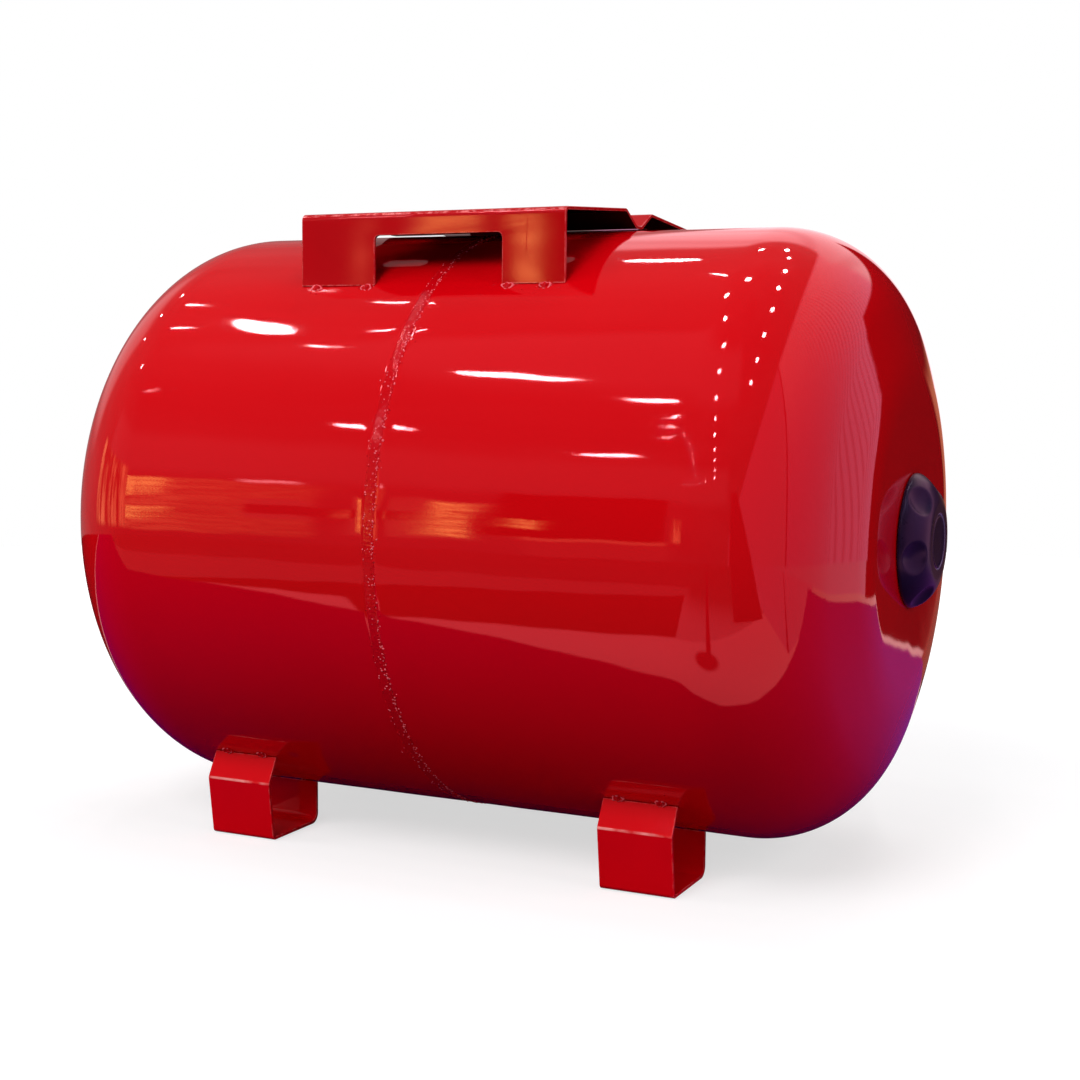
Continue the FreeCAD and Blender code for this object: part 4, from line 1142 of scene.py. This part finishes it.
seen = add_node(tree, "ShaderNodeBsdfDiffuse", {"Color": (0.42, 0.42, 0.43)})
distance = add_node(tree, "ShaderNodeVectorMath", operation="LENGTH")
feed(ground, distance.inputs[0])
lift = add_node(tree, "ShaderNodeMapRange", interpolation_type="SMOOTHSTEP")
set_up(lift, {"Value": Field(distance.outputs["Value"]), "From Min": 0.4, "From Max": 1.4, "To Min": 0.64,
              "To Max": 1.0})
white = add_node(tree, "ShaderNodeEmission", {"Strength": Field(lift.outputs["Result"])})
whitened = add_node(tree, "ShaderNodeAddShader")
tree.links.new(seen.outputs[0], whitened.inputs[0])
tree.links.new(white.outputs[0], whitened.inputs[1])
bounce = add_node(tree, "ShaderNodeBsdfDiffuse", {"Color": (0.30, 0.29, 0.30)})
from_above = choose_by_ray(tree, bounce, mirrored, whitened)
one_sided = choose(tree, read(tree, "ShaderNodeNewGeometry", "Backfacing"), from_above,
                   add_node(tree, "ShaderNodeBsdfTransparent"))
output = add_node(tree, "ShaderNodeOutputMaterial")
tree.links.new(one_sided.outputs[0], output.inputs["Surface"])
floor.data.materials.append(floor_paint)
print("floor shader of", len(tree.nodes), "nodes")

# %% [markdown]
# ## What the room shows in the enamel
# The room is painted in the same way, on the world. Two angles give each direction its place: the
# compass angle round the tank, and the height over the horizon. Shelves, warm windows and doors are
# patches between two compass angles and two heights. The panel on the right stands upright, so its
# masks use a flat picture plane that is turned 25 degrees towards it.

# %% Directions in the room
world = bpy.data.worlds.new("room")
bpy.context.scene.world = world
world.use_nodes = True
tree = world.node_tree
tree.nodes.clear()
aim_x, aim_y, aim_z = parts(read(tree, "ShaderNodeTexCoord", "Generated"))
degrees = 180 / math.pi
height = calculate("ARCSINE", aim_z) * degrees
compass = calculate("ARCTAN2", aim_y, aim_x) * degrees


def window(low_side, high_side, low, high, soft):
    """A soft-edged patch between two compass angles and two heights, in degrees."""
    return (above(compass, low_side, soft) * below(compass, high_side, soft)
            * above(height, low, soft) * below(height, high, soft))


# %% Far side of the hall, its shelves and warm windows
streaks = between(noise_value(tree, 46.0, 4.0, 0.65, (1.0, 1.0, 4.5)), 0.36, 0.64)
upright = between(noise_value(tree, 13.0, 3.0, 0.6, (1.0, 1.0, 0.15)), 0.38, 0.62)
ember = painted((0.40, 0.28, 0.20), streaks, (2.3, 1.5, 0.65))
dull_ember = painted((0.25, 0.15, 0.12), upright, (2.8, 1.9, 0.8))
faint_streaks = painted((0.40, 0.22, 0.18), streaks, (1.5, 0.85, 0.42))
gold = painted((1.4, 1.2, 0.4), streaks, (6.0, 6.6, 1.7))
dark_shelf = (0.20, 0.11, 0.10)
room = painted((0.16, 0.10, 0.10), noise_value(tree, 2.6, 3.0, 0.6, (1.0, 1.0, 3.0)), (0.42, 0.26, 0.26))
for *edges, soft, colour in (
        (-160, -60, 50, 72, 5.0, (0.50, 0.34, 0.36)),
        (-160, -66, 14, 26, 2.5, (0.52, 0.33, 0.34)),
        (-116.9, -111.4, -0.4, 14.0, 0.15, (0.10, 0.05, 0.03)),
        (-116.0, -111.0, -1.2, -0.2, 0.25, (1.6, 0.9, 0.5)),
        (-116.0, -110.6, -12.0, -1.6, 0.3, (0.50, 0.26, 0.24)),
        (-131.0, -126.4, -4.5, 12.5, 0.4, ember),
        (-127.0, -122.8, -4.5, 12.5, 0.8, faint_streaks),
        (-125.5, -122.8, 1.0, 7.5, 0.5, (0.80, 0.42, 0.36)),
        (-120.6, -117.0, -3.0, 10.0, 0.5, (0.70, 0.42, 0.34)),
        (-170.0, -131.0, -4.0, 15.0, 1.0, dull_ember),
        (-130.2, -128.4, 6.5, 12.3, 0.4, gold),
        (-129.6, -127.6, -1.0, 3.0, 0.4, gold),
        (-119.2, -117.3, -2.0, 9.5, 0.4, gold),
        (-125.5, -119.7, 2.6, 5.6, 0.2, dark_shelf),
        (-117.1, -116.3, 2.6, 5.6, 0.2, dark_shelf),
        (-121.3, -120.7, 2.6, 5.4, 0.2, ember),
        (-116.2, -115.2, 2.6, 5.5, 0.25, gold),
        (-126.4, -124.0, 12.8, 13.6, 0.3, (5.0, 5.0, 5.0)),
        (-110.0, -104.0, 0.0, 8.0, 0.8, dull_ember)):
    room = painted(room, window(*edges, soft), colour)
print("far side of", len(tree.nodes), "nodes")

# %% Pale panel, planked wall, bright wall and doors
wall_turn = math.radians(25)
facing = calculate("MULTIPLY_ADD", aim_y, math.sin(wall_turn), aim_x * math.cos(wall_turn))
sideways = calculate("MULTIPLY_ADD", aim_y, math.cos(wall_turn), aim_x * -math.sin(wall_turn))
before = calculate("MAXIMUM", facing, 0.02)
across, upward = sideways / before, aim_z / before
panel = above(facing, 0.03, 0.01) * below(upward, 1.66, 0.08)
wall = painted((1.25, 0.50, 0.80), between(upward, 0.1, 1.5), (1.7, 0.95, 1.05))
wall = painted(wall, plank_lines(across, 22.0) * 0.55, (0.45, 0.12, 0.22))
bright = (above(compass, 76.0, 3.0) * below(compass, linear(height, 0.42, 104.0), 0.8)
          * above(height, -4.0, 2.0) * below(height, 41.0, 2.0))
beams = plank_lines((height + compass) * 0.05, 1.0)
closet = (above(compass, -62.5, 0.8) * below(compass + height * 0.62, -47.0, 0.6) * below(height, 17.5, 0.4))
door_side = linear(noise_value(tree, 7.0, 4.0), 7.0, 54.5)
for mask, colour in (
        (panel, (1.10, 0.44, 0.60)),
        (panel * above(across, -0.80, 0.01), wall),
        (panel * on_line(across, -0.80, 0.018, 0.01), (0.25, 0.05, 0.10)),
        (bright, painted((1.45, 1.0, 1.06), beams * 0.25, (0.6, 0.25, 0.3))),
        (closet, (0.22, 0.07, 0.07)),
        (above(compass, door_side, 0.7) * window(50, 96, -12, 22, 0.8), (0.03, 0.008, 0.010)),
        (window(84, 96, -10, 3, 1.5), (0.55, 0.22, 0.12)),
        (window(143, 168, 8, 32, 4.0), (0.75, 0.58, 0.58))):
    room = painted(room, mask, colour)

# %% Rays and output of the world
fill = painted((0.03, 0.03, 0.03), between(aim_z, -0.35, 0.9), (0.13, 0.13, 0.13))
lights = [add_node(tree, "ShaderNodeBackground", {"Color": colour})
          for colour in (fill, room, (1.0, 1.0, 1.0))]
output = add_node(tree, "ShaderNodeOutputWorld")
tree.links.new(choose_by_ray(tree, *lights).outputs[0], output.inputs["Surface"])
print("world of", len(tree.nodes), "nodes")

# %% [markdown]
# ## The lamps
# Every lamp on the ceiling shows as a dot or a streak in the enamel, so each stands where its dot in the
# photograph asks for it, 2.8 m up. A row gives each lamp's x, y, length and width in metres, and its
# power grows with its area. Four large soft lamps, unseen in the enamel, give the plain even light.

# %% Lamps
def lamp(name, place, long, wide, power):
    """A flat lamp that faces the tank and is unseen by the camera itself."""
    light = bpy.data.lights.new(name, "AREA")
    light.shape = "ELLIPSE"
    light.size, light.size_y = long, wide
    light.energy = power
    item = bpy.data.objects.new(name, light)
    item.location = place
    item.rotation_mode = "QUATERNION"
    item.rotation_quaternion = (lamp_aim - Vector(place)).to_track_quat("-Z", "Y")
    item.visible_camera = False
    bpy.context.scene.collection.objects.link(item)
    return item


ceiling, lamp_aim = 2.8, Vector((0, -0.1, 0.25))
high_lamps = ((-1.79, -0.37, 0.34, 0.09), (-1.31, -1.52, 0.30, 0.09), (-1.10, -2.11, 0.18, 0.08),
              (-2.41, -3.29, 0.22, 0.10), (-1.99, -4.44, 0.22, 0.10), (-1.01, 1.60, 0.17, 0.09),
              (-1.71, -0.83, 0.05, 0.03))
row_a = ((-0.75, 0.95, 0.015, 0.10), (-0.47, 0.28, 0.12, 0.09), (-0.24, -0.29, 0.12, 0.09),
         (0.01, -0.87, 0.12, 0.09), (0.13, -1.43, 0.11, 0.09), (0.28, -2.07, 0.10, 0.09),
         (0.46, -2.69, 0.10, 0.09), (0.61, -3.27, 0.10, 0.09), (0.82, -3.95, 0.10, 0.09),
         (1.02, -4.57, 0.10, 0.09), (1.23, -5.27, 0.10, 0.09), (1.44, -5.97, 0.10, 0.09))
row_b = ((0.02, 2.07, 0.10, 0.10), (0.27, 1.69, 0.08, 0.08), (0.49, 1.17, 0.11, 0.10),
         (0.66, 0.65, 0.11, 0.10), (0.88, 0.15, 0.11, 0.10), (1.06, -0.38, 0.11, 0.10),
         (1.24, -0.90, 0.11, 0.10), (1.41, -1.42, 0.11, 0.10), (-0.48, 1.92, 0.11, 0.07),
         (-0.15, 0.67, 0.14, 0.10))
row_c = ((-1.14, -2.61, 0.008, 0.10), (-1.25, -2.97, 0.006, 0.06), (-1.16, -3.31, 0.008, 0.08),
         (-1.37, -3.38, 0.006, 0.06), (-0.84, -3.81, 0.006, 0.08), (-0.69, -4.37, 0.006, 0.08),
         (-0.53, -4.82, 0.006, 0.08), (-0.33, -5.86, 0.008, 0.10), (-1.48, -6.71, 0.008, 0.08),
         (-0.90, -6.68, 0.008, 0.08), (-0.40, -6.65, 0.008, 0.08), (0.09, -6.57, 0.008, 0.08),
         (0.60, -6.45, 0.008, 0.08))
side_row = ((-2.01, 0.21, 0.035, 0.06), (-2.06, -0.39, 0.020, 0.10), (-3.89, 0.42, 0.07, 0.06),
            (-3.26, -0.94, 0.07, 0.09), (-2.64, -2.09, 0.010, 0.07), (-2.67, 0.91, 0.07, 0.06),
            (-3.35, 0.78, 0.06, 0.06), (-1.45, 0.24, 0.020, 0.12), (-1.47, -0.45, 0.016, 0.14),
            (-2.32, -3.39, 0.025, 0.08))
lamps = []
for row, brightness, places in (("high", 110, high_lamps), ("a", 150, row_a), ("b", 150, row_b),
                                ("c", 400, row_c), ("side", 150, side_row)):
    for number, (x, y, long, wide) in enumerate(places):
        lamps.append(lamp(f"lamp_{row}_{number + 1}", (x, y, ceiling), long, wide, brightness * long * wide))
for name, place, size, power in (("soft_front", (-0.15, -1.75, 1.68), 1.0, 25),
                                 ("soft_left", (-1.87, -1.08, 0.99), 1.2, 13),
                                 ("soft_right", (2.05, -0.36, 1.17), 1.2, 15),
                                 ("soft_back", (0.0, 1.50, 1.95), 1.2, 15)):
    lamps.append(lamp(name, place, size, size, power))
    lamps[-1].visible_glossy = False
print("lamps", len(lamps), "of", round(sum(item.data.energy for item in lamps)), "W in all")

# %% [markdown]
# ## Colour management and the two boxes
# The standard view keeps colours as they are written. The two boxes, of the bare frame and of the
# dressed tank, are printed, so that a piece that sticks out of the solids shows at once.

# %% Finish
bpy.context.scene.view_settings.view_transform = "Standard"
dressed_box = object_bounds()
for label, corners in (("frame", cad_box), ("dressed", dressed_box)):
    print(label, [round(v, 4) for corner in corners for v in corner])
